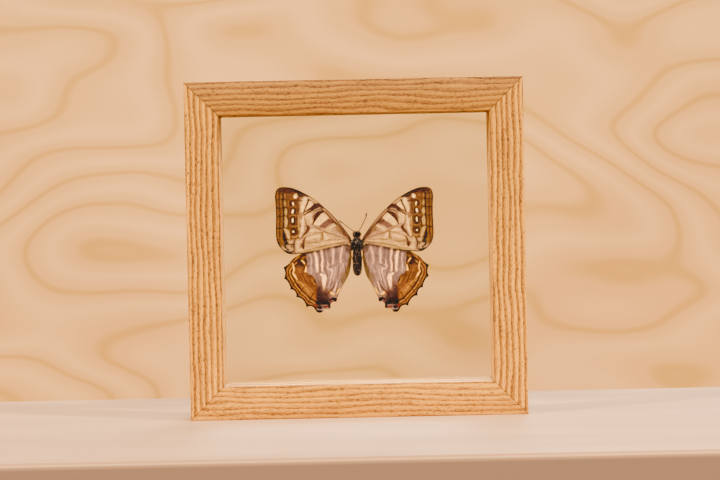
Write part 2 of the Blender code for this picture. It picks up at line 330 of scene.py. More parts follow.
# Each bar's ring line, early wood, middle, late wood and pores. The top one is darkest, partly from its
# denser grain and partly as painted shade. Then come the slant of its rings in radians, how far they
# wander in mm, and where in the plank it was cut.
STILE_TONES = ("966107", "9F6707", "B17707", "DD9907", "4F2107")
TOP_TONES_WITH_PAINTED_SHADE = ("845307", "8A5907", "936107", "AA7307", "532607")
BASE_TONES = ("A96D07", "AE7307", "BE8107", "D59607", "663707")
for turn, (name, upright, *figure) in enumerate((
        ("bottom_rail", False, BASE_TONES, 0.35, 5.0, 1.0), ("left_stile", True, STILE_TONES, 0.5, 3.2, 2.0),
        ("top_rail", False, TOP_TONES_WITH_PAINTED_SHADE, 0.5, 5.0, 3.0), ("right_stile", True, STILE_TONES, 0.55, 4.6, 4.0))):
    wood = oiled_ash(f"oiled ash, {name}", upright, *figure)
    dress(mesh_object(f"ash_{name}", rail_mesh(name, turn), wood), name)

# The two panes. Clear float glass 2 mm thick, cut square and slid into the grooves before the
# last rail was glued. It takes a little light, and a trace of green, from what is behind it.


def float_glass():
    """Clear soda-lime float glass: colourless but for a trace of green, with a fire-smooth face
    and the faint handling haze that any pane has."""
    material, add, shader, place = new_material("clear float glass")
    haze = add("MapRange", add("TexNoise", place, Scale=0.06, Detail=3.0), 0.4, 0.8, 0.0, 0.02)
    feed(shader, {"Base Color": "FBFDF9", "Roughness": haze, "Transmission Weight": 1.0, "IOR": 1.52})
    return material


glass = float_glass()
for name in ("front_glass", "back_glass"):
    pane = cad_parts[name]
    pane.data.materials.clear()
    pane.data.materials.append(glass)
    pane.visible_shadow = False     # clear glass casts next to none

# What the four wings share. Each is a dry membrane stretched on hollow veins and covered with rows
# of flat scales, whose colours make the pattern. The mesh takes its outline from the solid. Places
# on a wing are in mm outwards and upwards from the thorax, and tones are deeper than the scales' own,
# as the bright light pales them.
THORAX_X = 0.3
THORAX_Z = 82.4
WING_MESH = 0.2
WING_SKIN = 0.16
VEIN_RISE, VEIN_HALF, FOLD_DEEP = 0.09, 0.16, 0.1
TOOTH_REACH, TOOTH_HALF = 0.5, 0.6


def rounded(points, closed=False, steps=5):
    """The points as one smooth line that passes through all of them."""
    points = np.array(points, float)
    count = len(points)
    line = []
    for i in range(count if closed else count - 1):
        near = [(i + k) % count if closed else min(max(i + k, 0), count - 1) for k in (-1, 0, 1, 2)]
        a, b, c, d = points[near]
        for t in np.arange(steps) / steps:
            line.append(0.5 * (2 * b + (c - a) * t + (2 * a - 5 * b + 4 * c - d) * t ** 2
                               + (3 * b - a - 3 * c + d) * t ** 3))
    if not closed:
        line.append(points[-1])
    return np.array(line)


def to_line(places, line):
    """Each place's distance to a line of (out, up, width) points, and the line's width there."""
    nearest = np.full(len(places), 1e9)
    width = np.zeros(len(places))
    for a, b in zip(line, line[1:]):
        run = b[:2] - a[:2]
        t = np.clip(((places - a[:2]) @ run) / max(run @ run, 1e-9), 0, 1)
        gap = np.hypot(*(places - a[:2] - t[:, None] * run).T)
        closer = gap < nearest
        nearest[closer] = gap[closer]
        if len(a) > 2:
            width[closer] = (a[2] + t * (b[2] - a[2]))[closer]
    return nearest, width


def inside(places, outline):
    """Each place's depth inside a closed outline, negative outside it."""
    nearest, _ = to_line(places, np.vstack([outline, outline[:1]]))
    odd = np.zeros(len(places), bool)
    for a, b in zip(outline, np.roll(outline, -1, 0)):
        spans = (a[1] > places[:, 1]) != (b[1] > places[:, 1])
        if a[1] != b[1]:
            odd ^= spans & (places[:, 0] < a[0] + (places[:, 1] - a[1]) * (b[0] - a[0]) / (b[1] - a[1]))
    return np.where(odd, nearest, -nearest)


def soft_step(depth, blur):
    """0 outside and 1 inside, over a soft edge as wide as the blur."""
    t = np.clip(depth / blur + 0.5, 0, 1)
    return t * t * (3 - 2 * t)


def lay(colours, code, cover):
    """Lays a hex colour over the wing's colours, as far as it covers."""
    colours += (srgb(code) - colours) * np.clip(cover, 0, 1)[:, None]


def mark(colours, places, tones, markings):
    """Lays each marking in turn: its tone, blur, strength and shape. Points of (out, up, width) draw a
    line and points of (out, up) a patch. A spot has its middle, its half sizes and its tilt."""
    for tone, blur, strength, *shape in markings:
        spot = isinstance(shape[-1], int)
        corners = np.array(shape[:1] if spot else shape, float)
        reach = blur + (max(shape[1]) if spot else 0.6 + corners[:, 2:].max(initial=0))
        near = np.flatnonzero(np.all((places > corners[:, :2].min(0) - reach)
                                     & (places < corners[:, :2].max(0) + reach), axis=1))
        around = places[near]
        if spot:
            halves, turn = np.array(shape[1]), math.radians(shape[2])
            across, along = (around - corners[0]).T
            turned = np.stack([across * math.cos(turn) + along * math.sin(turn),
                               along * math.cos(turn) - across * math.sin(turn)], -1)
            cover = soft_step((1 - np.hypot(*(turned / halves).T)) * halves.min(), blur)
        elif corners.shape[1] == 3:
            gap, width = to_line(around, rounded(corners))
            cover = soft_step(width / 2 - gap, blur)
        else:
            cover = soft_step(inside(around, rounded(corners, closed=True, steps=4)), blur)
        shade = colours[near]
        lay(shade, tones[tone], cover * strength)
        colours[near] = shade


def drift(places, size, seed):
    """Smooth random values from -1 to 1 that change over about the given size in mm."""
    grid = np.random.default_rng(seed).uniform(-1, 1, (64, 64))
    spots = places / size + 20
    i, j = np.floor(spots).astype(int).T % 63
    fx, fy = (spots - np.floor(spots)).T
    fx, fy = fx * fx * (3 - 2 * fx), fy * fy * (3 - 2 * fy)
    return ((grid[i, j] * (1 - fx) + grid[i + 1, j] * fx) * (1 - fy)
            + (grid[i, j + 1] * (1 - fx) + grid[i + 1, j + 1] * fx) * fy)


def scale_rows(colours, places, amount, seed):
    """Uneven rows of scales: fine mottling, and streaks that fan out from the wing's root."""
    fan = np.stack([np.arctan2(places[:, 1], places[:, 0]) * 26, np.hypot(*places.T) * 0.16], -1)
    streaks = drift(fan, 0.55, seed + 3) + 0.6 * drift(fan * 2.3, 0.6, seed + 4)
    mottle = drift(places, 0.55, seed + 5) + 0.9 * drift(places, 1.5, seed + 6)
    return colours * np.exp(amount * (0.8 * streaks + mottle))[:, None]


def under_side(upper, places, seed):
    """The under side: the same pattern, washed out with pale dusty scales."""
    light = np.clip(upper.mean(1) / 0.1, 0, 1)[:, None]
    pale = upper + (srgb("876E4B") - upper) * 0.4 * light
    return pale * (1 + 0.06 * drift(places, 2.5, seed + 9))[:, None]


def paint(mesh, name, tones):
    """Gives each of a mesh's points its colour, under a name that the material reads."""
    values = np.ones((len(tones), 4), np.float32)
    values[:, :3] = tones
    mesh.color_attributes.new(name, "FLOAT_COLOR", "POINT").data.foreach_set("color", values.ravel())


def wing_outline(name, side, scale):
    """The solid wing's outline as seen from in front, before its side's scale."""
    shape = bmesh.new()
    shape.from_mesh(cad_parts[name].data)
    bmesh.ops.remove_doubles(shape, verts=shape.verts, dist=0.002 * MM)
    shape.normal_update()
    front = {face for face in shape.faces if face.normal.y < -0.9}
    rim = {}
    for face in front:
        for loop in face.loops:
            if not any(other in front for other in loop.edge.link_faces if other is not face):
                rim[loop.vert] = loop.link_loop_next.vert
    ordered = [min(rim, key=lambda vert: (vert.co.z, vert.co.x))]
    while rim[ordered[-1]] is not ordered[0]:
        ordered.append(rim[ordered[-1]])
    outline = np.array([(vert.co.x, vert.co.z) for vert in ordered]) / MM - (THORAX_X, THORAX_Z)
    shape.free()
    return outline * (side, 1) / scale


def evenly(outline, step):
    """The closed outline resampled at an even step, its facets rounded off a little."""
    closed = np.vstack([outline, outline[:1]])
    lengths = np.concatenate([[0], np.cumsum(np.hypot(*np.diff(closed, axis=0).T))])
    spots = np.linspace(0, lengths[-1], int(lengths[-1] / step), endpoint=False)
    even = np.stack([np.interp(spots, lengths, closed[:, axis]) for axis in (0, 1)], -1)
    for _ in range(2):
        even = 0.25 * np.roll(even, 1, 0) + 0.5 * even + 0.25 * np.roll(even, -1, 0)
    return even


def toothed(rim, teeth):
    """The rim drawn out to a point at each tooth."""
    for tooth in teeth:
        away = np.array(tooth) - rim.mean(0)
        gap = np.hypot(*(rim - tooth).T)
        rim = rim + away / np.hypot(*away) * TOOTH_REACH * np.exp(-(gap / TOOTH_HALF) ** 2)[:, None]
    return rim


def veins_and_folds(places, edge, veins):
    """Height in mm: raised veins, and the membrane sunk between them."""
    nearest = np.min([to_line(places, rounded(vein))[0] for vein in veins], axis=0)
    height = VEIN_RISE * np.exp(-(nearest / VEIN_HALF) ** 2) - FOLD_DEEP * (1 - np.exp(-nearest / 1.2))
    return height * np.clip(edge / 0.3, 0.2, 1)


def wing_mesh(name, side, scale, colouring, relief, seed, teeth=()):
    """A thin double skin over the outline. The relief gives its points' heights, and the markings
    their colours."""
    rim = toothed(evenly(wing_outline(name, side, scale), WING_MESH), teeth)
    low, high = rim.min(0), rim.max(0)
    rows = np.arange(low[1], high[1], WING_MESH * math.sqrt(3) / 2)
    grid = np.array([(out + (row % 2) * WING_MESH / 2, up) for row, up in enumerate(rows)
                     for out in np.arange(low[0], high[0], WING_MESH)])
    grid = grid[inside(grid, rim[::2]) > WING_MESH * 0.6]
    ring = [(i, (i + 1) % len(rim)) for i in range(len(rim))]
    points = [Vector(point) for point in np.vstack([rim, grid]).tolist()]
    places, _, faces, *_ = delaunay_2d_cdt(points, ring, [], 1, 1e-7)
    places = np.array([tuple(place) for place in places])
    faces = np.array([tuple(face) for face in faces])
    count = len(places)
    edge = inside(places, rim[::2])
    height = relief(places, edge)
    middle = (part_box(name)[0].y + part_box(name)[1].y) / 2 / MM
    thin = WING_SKIN / 2 * np.clip(0.35 + edge / 0.4, 0.35, 1)
    x = THORAX_X + side * places[:, 0] * scale[0]
    z = THORAX_Z + places[:, 1] * scale[1]
    front = np.stack([x, middle - height - thin, z], -1)
    back = np.stack([x, middle - height * 0.8 + thin, z], -1)
    walls = [wall for a, b in ring for wall in ((a, b, b + count), (a, b + count, a + count))]
    shape = bmesh.new()
    corners = [shape.verts.new(point) for point in (np.vstack([front, back]) * MM).tolist()]
    for face in np.vstack([faces, faces[:, ::-1] + count, walls]).tolist():
        shape.faces.new([corners[i] for i in face])
    mesh = to_mesh(shape, name)
    upper = colouring(places, edge, seed)
    paint(mesh, "scale_colour", np.vstack([upper, under_side(upper, places, seed)]))
    return mesh


def wing_scales(name):
    """Dry butterfly scales: flat, overlapping and quite matt, darker where they overlap. Real ones are
    about 0.1 mm wide, and are drawn 0.25 mm wide so that they show."""
    material, add, shader, place = new_material(name)
    colour = add("Attribute", attribute_name="scale_colour", out="Color")
    scales = add("TexVoronoi", place, Scale=4.0, out="Color")
    speck = add("TexNoise", place, Scale=1.6, Detail=4.0, Roughness=0.7)
    lights = add("Mix", data_type="RGBA", Factor=0.4, A=scales, B=speck, out="Result")
    shade = add("ValToRGB", add("RGBToBW", lights), stops=[(0.25, "D8D2CC"), (0.55, "FFFFFF")])
    toned = add("Mix", data_type="RGBA", blend_type="MULTIPLY", Factor=0.8, A=colour, B=shade, out="Result")
    raised = add("Bump", Height=scales.node.outputs["Distance"], Strength=0.3, Distance=0.00004)
    feed(shader, {"Base Color": toned, "Roughness": add("MapRange", speck, To_Min=0.62, To_Max=0.9),
                  "Normal": raised, "Specular IOR Level": 0.04})
    return material


def add_wings(kind, scales, colouring, relief, seed, teeth=()):
    """The left and the right wing of one pair, each set by its own share of the left one's size."""
    for side, word, scale in ((-1, "left", scales[0]), (1, "right", scales[1])):
        name = f"{kind}_{word}"
        mesh = wing_mesh(name, side, scale, colouring, relief, seed + side, teeth)
        dress(mesh_object(f"scaled_{name}", mesh, wing_scales(f"scales of the {word} {kind}")), name)


# The forewings. Brown and amber at the outer edge with four white-pupilled eyespots and a white spot
# over them, then cream with dark bars across the cell and fine brown veins.
FOREWING_TONES = {
    "black": "070707", "chestnut": "200707", "russet": "311307", "brown": "3F2007", "tan": "462908",
    "amber": "512E07", "clay": "4F3117", "taupe": "4A2C1E", "ochre": "5C3907", "honey": "6D4415",
    "gold": "7C581E", "sand": "7D5834", "biscuit": "8B6429", "cream": "A27637", "ivory": "BF8C42",
    "white": "E7B15D",
}
FOREWING_SCALES = ((1, 1), (0.952, 0.955))
FOREWING_VEINS = [
    [(2.8, 2.2), (7, 7.6), (11.5, 12.8), (16, 17.4), (20, 20.6)],
    [(2.8, 1.3), (9, 3.8), (15.4, 5.9), (20.9, 9.5), (24, 9.4), (31, 8), (38.4, 7.8)],
    [(2.8, 0.9), (10, 0.1), (18, -1.5), (25.6, -2.9), (32, -3.4)],
    [(10.4, 10.2), (16, 16), (22.4, 16), (30, 17.8), (38.4, 17.6)],
    [(16, 16), (22.6, 21.2), (30, 24.6), (37, 25.4)],
    [(22.4, 16), (27, 20.8), (33, 21.6), (38.4, 21.6)],
    [(20.9, 9.5), (23.8, 13.4), (31, 13.4), (38.4, 13.5)],
    [(15.4, 5.9), (22, 4.4), (30, 2.8), (38.2, 2.4)],
]
FOREWING_VEIN_ENDS = (24.3, 21.6, 17.6, 13.5, 7.8, 2.4)
FOREWING_MARGIN = [(37.6, 26.6), (38.55, 24.4), (38.45, 19.5), (38.35, 14), (38.5, 7.5), (38.4, 2.8),
                   (37.3, -0.5), (35.5, -2.6), (33.4, -4.2)]
FOREWING_GROUND = [
    # The brown outer part
    ("cream", 3, 0.8, (9, -1), (12, 4), (20, 6), (25, 3), (24, -3), (14, -2)),
    ("cream", 2, 0.6, (20, -3), (27.5, -4.2), (27.5, 2), (24, 0)),
    ("brown", 1.4, 1, (27.6, 3.4), (28.2, 1.4), (29.5, 2), (32, 2), (34, 1), (40, -1), (41, 28), (24, 29),
     (22.6, 23.2), (25.4, 22.3), (27, 20.6), (26.9, 17), (27.2, 13), (27.3, 9), (27.5, 6)),
    # Pale and dusky streaks between the veins
    ("ivory", 0.52, 0.8, (5, 0.9, 0.4), (11, 0.9, 1.1), (17, 0.2, 1.4), (22, -0.8, 0.8)),
    ("ivory", 0.52, 0.8, (7, 2.4, 0.3), (12, 3.4, 0.9), (14, 3.6, 0.5)),
    ("ivory", 0.52, 0.85, (18, 3.8, 0.9), (21, 3.2, 1.1), (23.4, 2.2, 0.6)),
    ("ivory", 0.52, 0.8, (17.6, 6, 0.4), (20, 6.6, 1.2), (22, 6.4, 0.8)),
    ("clay", 0.6, 0.6, (8, 1.6, 0.5), (13, 1.7, 0.8), (15.6, 1.4, 0.5)),
    ("clay", 0.6, 0.6, (18.6, 0.9, 0.4), (21.6, 0.6, 1), (24, 0.6, 0.8)),
    ("clay", 0.6, 0.6, (12, 4.6, 0.3), (17, 5.6, 0.6), (20, 5.4, 0.6)),
    ("white", 0.45, 0.85, (26.4, 11.8, 0.5), (26.2, 8.8, 0.8), (27, 5.6, 0.6)),
    ("tan", 0.3, 0.8, (24, 3.4, 0.3), (27, 2.9, 0.4), (30, 2.8, 0.4), (34, 2.6, 0.3)),
    ("cream", 0.38, 0.8, (20, -1.3, 0.4), (24, -2.1, 0.8), (27.4, -2.6, 0.8)),
    ("clay", 1.5, 0.4, (5, 0), (14, 2), (24, 2), (25, -2), (12, -1)),
    # Lines round the inner side of the eyespots
    ("honey", 0.3, 0.9, (27, 19.5, 0.3), (26.6, 17, 0.5), (26.5, 14, 0.5), (26.9, 11.5, 0.5),
     (27, 9, 0.5), (27.3, 6.2, 0.5), (28.3, 4, 0.4), (29.8, 3.3, 0.3)),
    ("tan", 0.26, 0.9, (26.3, 15.5, 0.3), (26.2, 12, 0.35), (26.5, 9, 0.35), (26.9, 5.8, 0.35),
     (28, 3.4, 0.3), (29.8, 2.7, 0.3)),
    ("biscuit", 0.3, 0.95, (27.9, 14, 0.2), (27.6, 12, 0.45), (27.9, 9.2, 0.4), (27.7, 7.5, 0.5),
     (28, 5, 0.5), (29.3, 3.9, 0.5), (31, 3.6, 0.3)),
    ("brown", 0.26, 0.8, (28.3, 19.6, 0.3), (27.9, 18, 0.4), (27.7, 15.5, 0.4), (28.3, 13.7, 0.3)),
    ("clay", 0.3, 0.8, (28.6, 19.9, 0.2), (27.3, 18.8, 0.5), (27.2, 16, 0.5)),
]
# Bands along the margin: tone, distance in from the margin, width, blur, strength.
FOREWING_BANDS = [
    ("amber", 1.15, 0.95, 0.5, 0.95), ("chestnut", 1.9, 0.65, 0.4, 0.95), ("amber", 2.75, 1.1, 0.5, 0.95),
    ("black", 3.7, 0.75, 0.4, 0.97), ("brown", 4.35, 0.4, 0.4, 0.7), ("black", 0.12, 0.55, 0.3, 1),
]
FOREWING_MARKINGS = [
    # Cream crescents between the veins
    ("honey", 0.34, 0.9, (34.1, 24.4, 0.3), (34.1, 23.3, 0.6), (34, 22.3, 0.3)),
    ("gold", 0.34, 0.95, (34, 20.9, 0.5), (33.9, 19.8, 1.1), (33.9, 18.6, 0.6)),
    ("biscuit", 0.38, 1, (33.8, 17, 0.7), (33.6, 15.8, 1.6), (33.8, 14.3, 0.8)),
    ("biscuit", 0.38, 1, (33.9, 12.9, 0.8), (33.6, 11.2, 1.7), (33.8, 8.9, 1)),
    ("biscuit", 0.38, 1, (34.4, 7.5, 0.7), (33.6, 6.6, 1.6), (33, 5, 1.7), (32.5, 3.5, 1.3),
     (32.3, 2.6, 0.5)),
    # The four eyespots and the white spot over them
    ("chestnut", 0.38, 0.9, (30.6, 19.2), (1.3, 1.9), 0),
    ("chestnut", 0.38, 0.9, (30.2, 15.7), (1.4, 1.9), 0),
    ("russet", 0.38, 0.95, (29.9, 11.2), (2, 2.8), 0),
    ("brown", 0.38, 0.8, (29.3, 10.8), (1.3, 2.2), 0),
    ("black", 0.3, 0.95, (30.2, 11.2), (1.1, 1.9), 0),
    ("tan", 0.38, 0.9, (30, 6.1), (2.5, 2.4), 0),
    ("russet", 0.3, 0.95, (30.1, 6), (2, 2), 0),
    ("black", 0.25, 1, (30.3, 6), (1.05, 1.1), 0),
    ("black", 0.25, 0.95, (29.55, 15.3), (0.55, 1), 15),
    ("black", 0.25, 0.95, (29.7, 11.2), (0.5, 1.4), 0),
    ("ivory", 0.45, 0.95, (28.9, 23.2), (0.85, 1.2), 30),
    ("white", 0.3, 1, (29, 22.8), (0.45, 0.6), 0),
    ("white", 0.25, 1, (30.15, 19.4), (0.36, 0.9), -12),
    ("white", 0.25, 1, (30.45, 15.8), (0.45, 0.95), 14),
    ("white", 0.25, 1, (30.35, 11.4), (0.36, 1.05), 4),
    ("white", 0.25, 1, (30.4, 6), (0.36, 0.42), -30),
    # Lines between the eyespots
    ("honey", 0.26, 0.8, (28.6, 13.2, 0.3), (30.2, 14.1, 0.45), (31.8, 13.2, 0.3)),
    ("honey", 0.26, 0.8, (28.3, 9, 0.3), (30.1, 8.5, 0.5), (32, 9.2, 0.3)),
    ("ochre", 0.26, 0.8, (28.8, 17.6, 0.3), (30.4, 18, 0.45), (31.8, 17.4, 0.3)),
    ("ochre", 0.26, 0.8, (28.9, 21.4, 0.3), (30.4, 21.7, 0.4), (31.8, 21.2, 0.3)),
    ("honey", 0.26, 0.7, (28.3, 3.6, 0.3), (30.2, 3.2, 0.5), (31.9, 4.2, 0.3)),
    ("ochre", 0.3, 0.75, (32.2, 21, 0.3), (32.4, 19.4, 0.5), (32.2, 17.8, 0.3)),
    ("black", 0.26, 0.75, (32.7, 16.8, 0.3), (32.5, 15.6, 0.5), (32.7, 14.4, 0.3)),
    ("black", 0.26, 0.75, (32.6, 12.8, 0.3), (32.4, 11, 0.5), (32.7, 9.2, 0.3)),
    ("ochre", 0.3, 0.75, (31.9, 7.6, 0.3), (32.3, 6.2, 0.5), (31.9, 4.8, 0.3)),
    ("chestnut", 0.3, 0.7, (27.2, 24.4, 0.4), (28.4, 25, 0.7), (31.2, 25.2, 0.8), (33.6, 24.6, 0.4)),
    ("clay", 0.3, 0.7, (27.6, 22.2, 0.4), (27.2, 21, 0.6), (27.6, 19.8, 0.3)),
    ("clay", 0.38, 0.7, (31.6, 23.6), (0.6, 0.5), 20),
    # Cream patches and dark bars of the cell
    ("ivory", 0.52, 0.95, (24.3, 22.4), (23.4, 21.4), (24.4, 18.6), (25.4, 15.4), (26.6, 15.6),
     (26.4, 18.5), (25.4, 21.5)),
    ("ivory", 0.38, 0.95, (22.2, 20.6), (20.6, 19.3), (22.4, 17.3), (24.2, 16.4), (23.9, 17.5),
     (23, 19.6)),
    ("cream", 0.38, 0.9, (24.6, 13.5), (22.2, 15), (20.9, 14.4), (21.4, 12), (20.9, 10), (22.6, 10),
     (24, 10.6)),
    ("ivory", 0.38, 0.95, (16.2, 14.6), (13.3, 12.7), (15.2, 10.9), (18.4, 8.8), (20.2, 9.4), (19, 12)),
    ("cream", 0.6, 0.9, (15, 7), (12.4, 8.2), (10.4, 9.4), (9.2, 8.8), (11, 7.6), (12.5, 6), (14.2, 6)),
    ("ivory", 0.45, 0.9, (25.3, 13.6, 0.6), (25.5, 11.5, 1), (25.6, 9, 1.1), (25.9, 7.2, 1.3),
     (26.6, 5.3, 0.9), (27.4, 3.6, 0.5)),
    ("tan", 0.3, 0.85, (24.9, 13.2, 0.3), (24.5, 11.5, 0.45), (24.1, 10, 0.6), (23.8, 9.2, 0.5)),
    ("russet", 0.45, 1, (23.9, 9, 0.5), (22.9, 7.7, 1.6), (23.6, 6.3, 1.5), (24.9, 4.9, 1.1),
     (26.2, 3.4, 0.4)),
    ("tan", 0.45, 0.5, (24.4, 7.4, 0.5), (25.2, 5.2, 0.5)),
    ("russet", 0.38, 0.95, (24.2, 3.2, 0.5), (25, 2.1, 0.9), (25.5, 0.8, 1.3), (25.9, -0.6, 1.8),
     (25.7, -1.8, 1.2)),
    ("brown", 0.6, 0.7, (27.4, 0.6, 0.5), (26.8, -0.3, 1), (27.2, -1.4, 0.7)),
    ("chestnut", 0.38, 0.9, (25.8, -0.7, 0.8), (25.7, -1.6, 0.8)),
    ("brown", 0.68, 0.85, (19.6, 14.6), (21, 13.4), (20.8, 11.6), (20.2, 10.4), (19, 12.2), (18.4, 13.8)),
    ("chestnut", 0.34, 0.97, (16.1, 15.3, 1.2), (17.6, 14.6, 2), (18.9, 13.4, 1.9), (19.8, 11.8, 1.4),
     (20.9, 9.5, 0.6)),
    ("black", 0.26, 0.95, (15.9, 15.6, 0.5), (16.6, 16.3, 0.5), (17.5, 16.2, 0.4)),
    ("brown", 0.38, 0.8, (16.9, 16.9, 0.5), (18.5, 16.2, 0.8), (20.2, 15.6, 0.5)),
    ("chestnut", 0.38, 0.97, (15.9, 17.2, 0.9), (17.3, 18.4, 1.9), (18.9, 18.3, 2.5), (20.3, 17.6, 2.1),
     (21.8, 16.6, 1.3)),
    ("chestnut", 0.26, 0.97, (21, 17.3, 0.9), (22.8, 16.3, 0.7), (24, 15.7, 0.4), (25, 15.2, 0.3)),
    ("black", 0.26, 0.97, (20.3, 16.4, 0.5), (22.2, 15.5, 0.6), (23.6, 14.7, 0.6), (25.1, 13.7, 0.45)),
    ("ochre", 0.25, 0.9, (21.6, 16.3, 0.2), (23.2, 15.5, 0.35), (24.8, 14.5, 0.25)),
    ("black", 0.26, 0.98, (22.5, 21.3, 0.9), (22.9, 20, 0.8), (23.7, 18.2, 0.7), (24.4, 16.6, 0.7),
     (25.2, 15.2, 0.5), (25.6, 14.3, 0.3)),
    ("chestnut", 0.26, 0.9, (22.3, 20.9, 0.5), (20.8, 20.1, 0.4), (19.6, 19, 0.5)),
    ("taupe", 0.34, 0.95, (13.4, 11.9), (11, 10.5), (10.8, 9.8), (13.2, 8.7), (15.4, 7.5), (17.4, 7.9),
     (17.9, 8.4), (16.4, 9.7), (14.8, 10.8)),
    ("russet", 0.68, 0.7, (13.4, 11.6), (11.2, 10.5), (11.6, 9.7), (13.6, 10)),
    ("tan", 0.38, 0.8, (11.8, 7, 0.3), (10.4, 7.5, 0.6), (9.2, 7.9, 0.6)),
    ("tan", 0.38, 0.7, (11, 6.2, 0.2), (9.4, 6.6, 0.6), (8.6, 7.2, 0.6)),
    ("clay", 0.6, 0.8, (9.4, 7.6), (10, 6.4), (8, 5), (6, 3.4), (3, 1.6), (4.5, 3.6), (7, 6.4)),
    ("sand", 0.6, 0.7, (14.4, 4.6), (13.2, 3.2), (9, 2.2), (5, 1.2), (6.5, 2.4), (10, 3.8)),
    ("ivory", 0.38, 0.9, (15.6, 5.2, 0.4), (15, 3.9, 0.9), (14.3, 2.4, 0.8)),
    ("tan", 0.34, 0.9, (16.3, 5.6, 0.4), (16.3, 4, 0.7), (16.4, 2.5, 0.9), (17.4, 2, 0.4)),
    ("clay", 0.6, 0.6, (16.8, 4.6, 0.8), (17.2, 2.6, 0.9)),
    # Veins
    ("brown", 0.25, 0.9, (20.9, 9.5, 0.3), (19.2, 8.3, 0.35), (17.6, 7.2, 0.35), (15.4, 5.9, 0.4),
     (12.2, 4.7, 0.35), (9, 3.8, 0.35), (5.2, 2.3, 0.4), (2.8, 1.3, 0.5)),
    ("honey", 0.3, 0.9, (18, 6.9, 0.5), (16.6, 6.4, 0.6), (15.6, 5.6, 0.4)),
    ("tan", 0.25, 0.8, (16.4, 5.3, 0.25), (18.5, 5.1, 0.3), (21, 4.5, 0.3), (24, 3.4, 0.25)),
    ("tan", 0.26, 0.9, (2.8, 0.9, 0.5), (6, 0.7, 0.45), (10, 0.1, 0.45), (14, -0.7, 0.45),
     (18, -1.5, 0.45), (22, -2.4, 0.4), (25.6, -2.9, 0.3)),
    ("biscuit", 0.45, 0.85, (12, -0.9, 0.5), (17, -2, 0.8), (22, -3.1, 1), (27, -3.4, 0.8)),
    ("clay", 0.25, 0.8, (25.6, -2.9, 0.3), (23.5, -3.2, 0.3), (21, -2.9, 0.25)),
    ("tan", 0.25, 0.55, (24, 9.4, 0.25), (26, 8.6, 0.25), (28, 8.3, 0.25)),
    # The outer lower corner
    ("cream", 0.45, 0.9, (28.4, 2.4, 0.8), (28.3, 0, 1.5), (28.3, -2.2, 1.2), (29, -3.6, 0.8)),
    ("chestnut", 0.38, 0.9, (29.8, 1.9, 0.6), (30.2, 0.6, 1.1), (30.3, -0.8, 1.1), (30, -2.4, 0.8)),
    ("biscuit", 0.34, 0.9, (33, 2, 0.4), (31.5, 0.9, 0.9), (31.2, 0, 0.8), (32.6, -0.6, 0.7),
     (31.6, -1.9, 0.8), (31, -2.9, 0.5)),
    ("black", 0.3, 0.9, (32.2, -0.3, 0.5), (31, 0.2, 0.6), (31.5, -1.1, 0.5)),
    ("black", 0.38, 0.95, (34.7, 4.3), (0.8, 1.5), 12),
    ("black", 0.38, 0.9, (34.3, 2.4), (0.7, 1), 0),
    ("black", 0.38, 0.9, (33.7, 0.7), (1, 1), 0),
    ("black", 0.3, 0.95, (34.4, 0, 0.8), (34.2, -1.3, 1), (33, -2.4, 1)),
    ("ochre", 0.3, 0.8, (36.2, 3, 0.7), (35.7, 0.8, 0.6), (35.1, -0.8, 0.5)),
    ("black", 0.26, 1, (37.6, 0.4), (0.45, 1.2), 40),
    ("black", 0.3, 0.97, (34.6, -2.9, 0.7), (33.4, -3.6, 1.3), (31.9, -3.8, 1.2), (30.6, -3.4, 0.5)),
    ("sand", 0.3, 0.8, (33.9, -2.1), (0.5, 0.25), 0),
    ("chestnut", 0.3, 0.8, (31.4, -2.7, 0.4), (30.2, -3.2, 0.5), (29.4, -4, 0.3)),
    # The front edge
    ("chestnut", 0.68, 0.85, (36.5, 25.6, 1.4), (34, 26, 1.6), (31, 25.6, 1.2), (28, 24.6, 0.7)),
    ("black", 0.45, 0.85, (27.8, 23.9, 0.6), (26.2, 23.3, 0.8), (24.8, 22.9, 0.6)),
    ("russet", 0.38, 0.9, (30.6, 21.2, 0.5), (28.4, 21.2, 0.9), (26.6, 20.9, 0.9), (25.5, 20.5, 0.5)),
    ("taupe", 0.38, 0.6, (27.6, 23, 0.5), (26.4, 22.3, 0.6)),
    ("black", 0.3, 1, (38, 26.3, 0.7), (36.6, 27.2, 0.9), (34.2, 27.4, 1), (31.5, 27, 1.1),
     (28.6, 25.9, 1.3), (25.6, 24.5, 1.3), (23.6, 23.4, 1), (22.2, 22.5, 0.4)),
    ("biscuit", 0.3, 0.9, (22.6, 22.3, 0.6), (20.8, 21.2, 0.8), (18.9, 19.6, 0.6)),
    ("brown", 0.25, 0.85, (23, 22.7, 0.4), (21.2, 22.3, 0.35), (19.4, 21, 0.35), (17.8, 19.6, 0.35)),
    ("russet", 0.38, 0.85, (16.6, 17, 0.5), (14.6, 14.9, 0.9), (12.4, 12.4, 1.2), (10.4, 10.2, 1.3),
     (8, 7.6, 1.5), (5, 4, 1.6), (3, 1.9, 1.5)),
    ("chestnut", 0.26, 0.95, (17.8, 19.4, 0.4), (15.8, 17.7, 0.5), (13.2, 15.2, 0.55), (10.2, 12, 0.65),
     (7.4, 8.7, 0.7), (4.8, 5.3, 0.8), (2.8, 2.7, 0.8)),
    ("chestnut", 0.26, 0.8, (11.8, 11.4, 0.4), (10.8, 10.3, 0.6), (9.4, 8.8, 0.5), (6.8, 5.8, 0.5)),
    ("gold", 0.3, 0.7, (9.8, 8.9, 0.3), (8.6, 7.4, 0.4), (7, 5.6, 0.2)),
    ("black", 1.2, 0.8, (2, 3.2), (3.6, 2.6), (3.8, 0.6), (2, -0.6)),
]


def forewing_relief(places, edge):
    """Veins and folds on a wing that bows forward in its middle."""
    return veins_and_folds(places, edge, FOREWING_VEINS) + 0.18 * np.sin(places[:, 0] / 38 * math.pi)


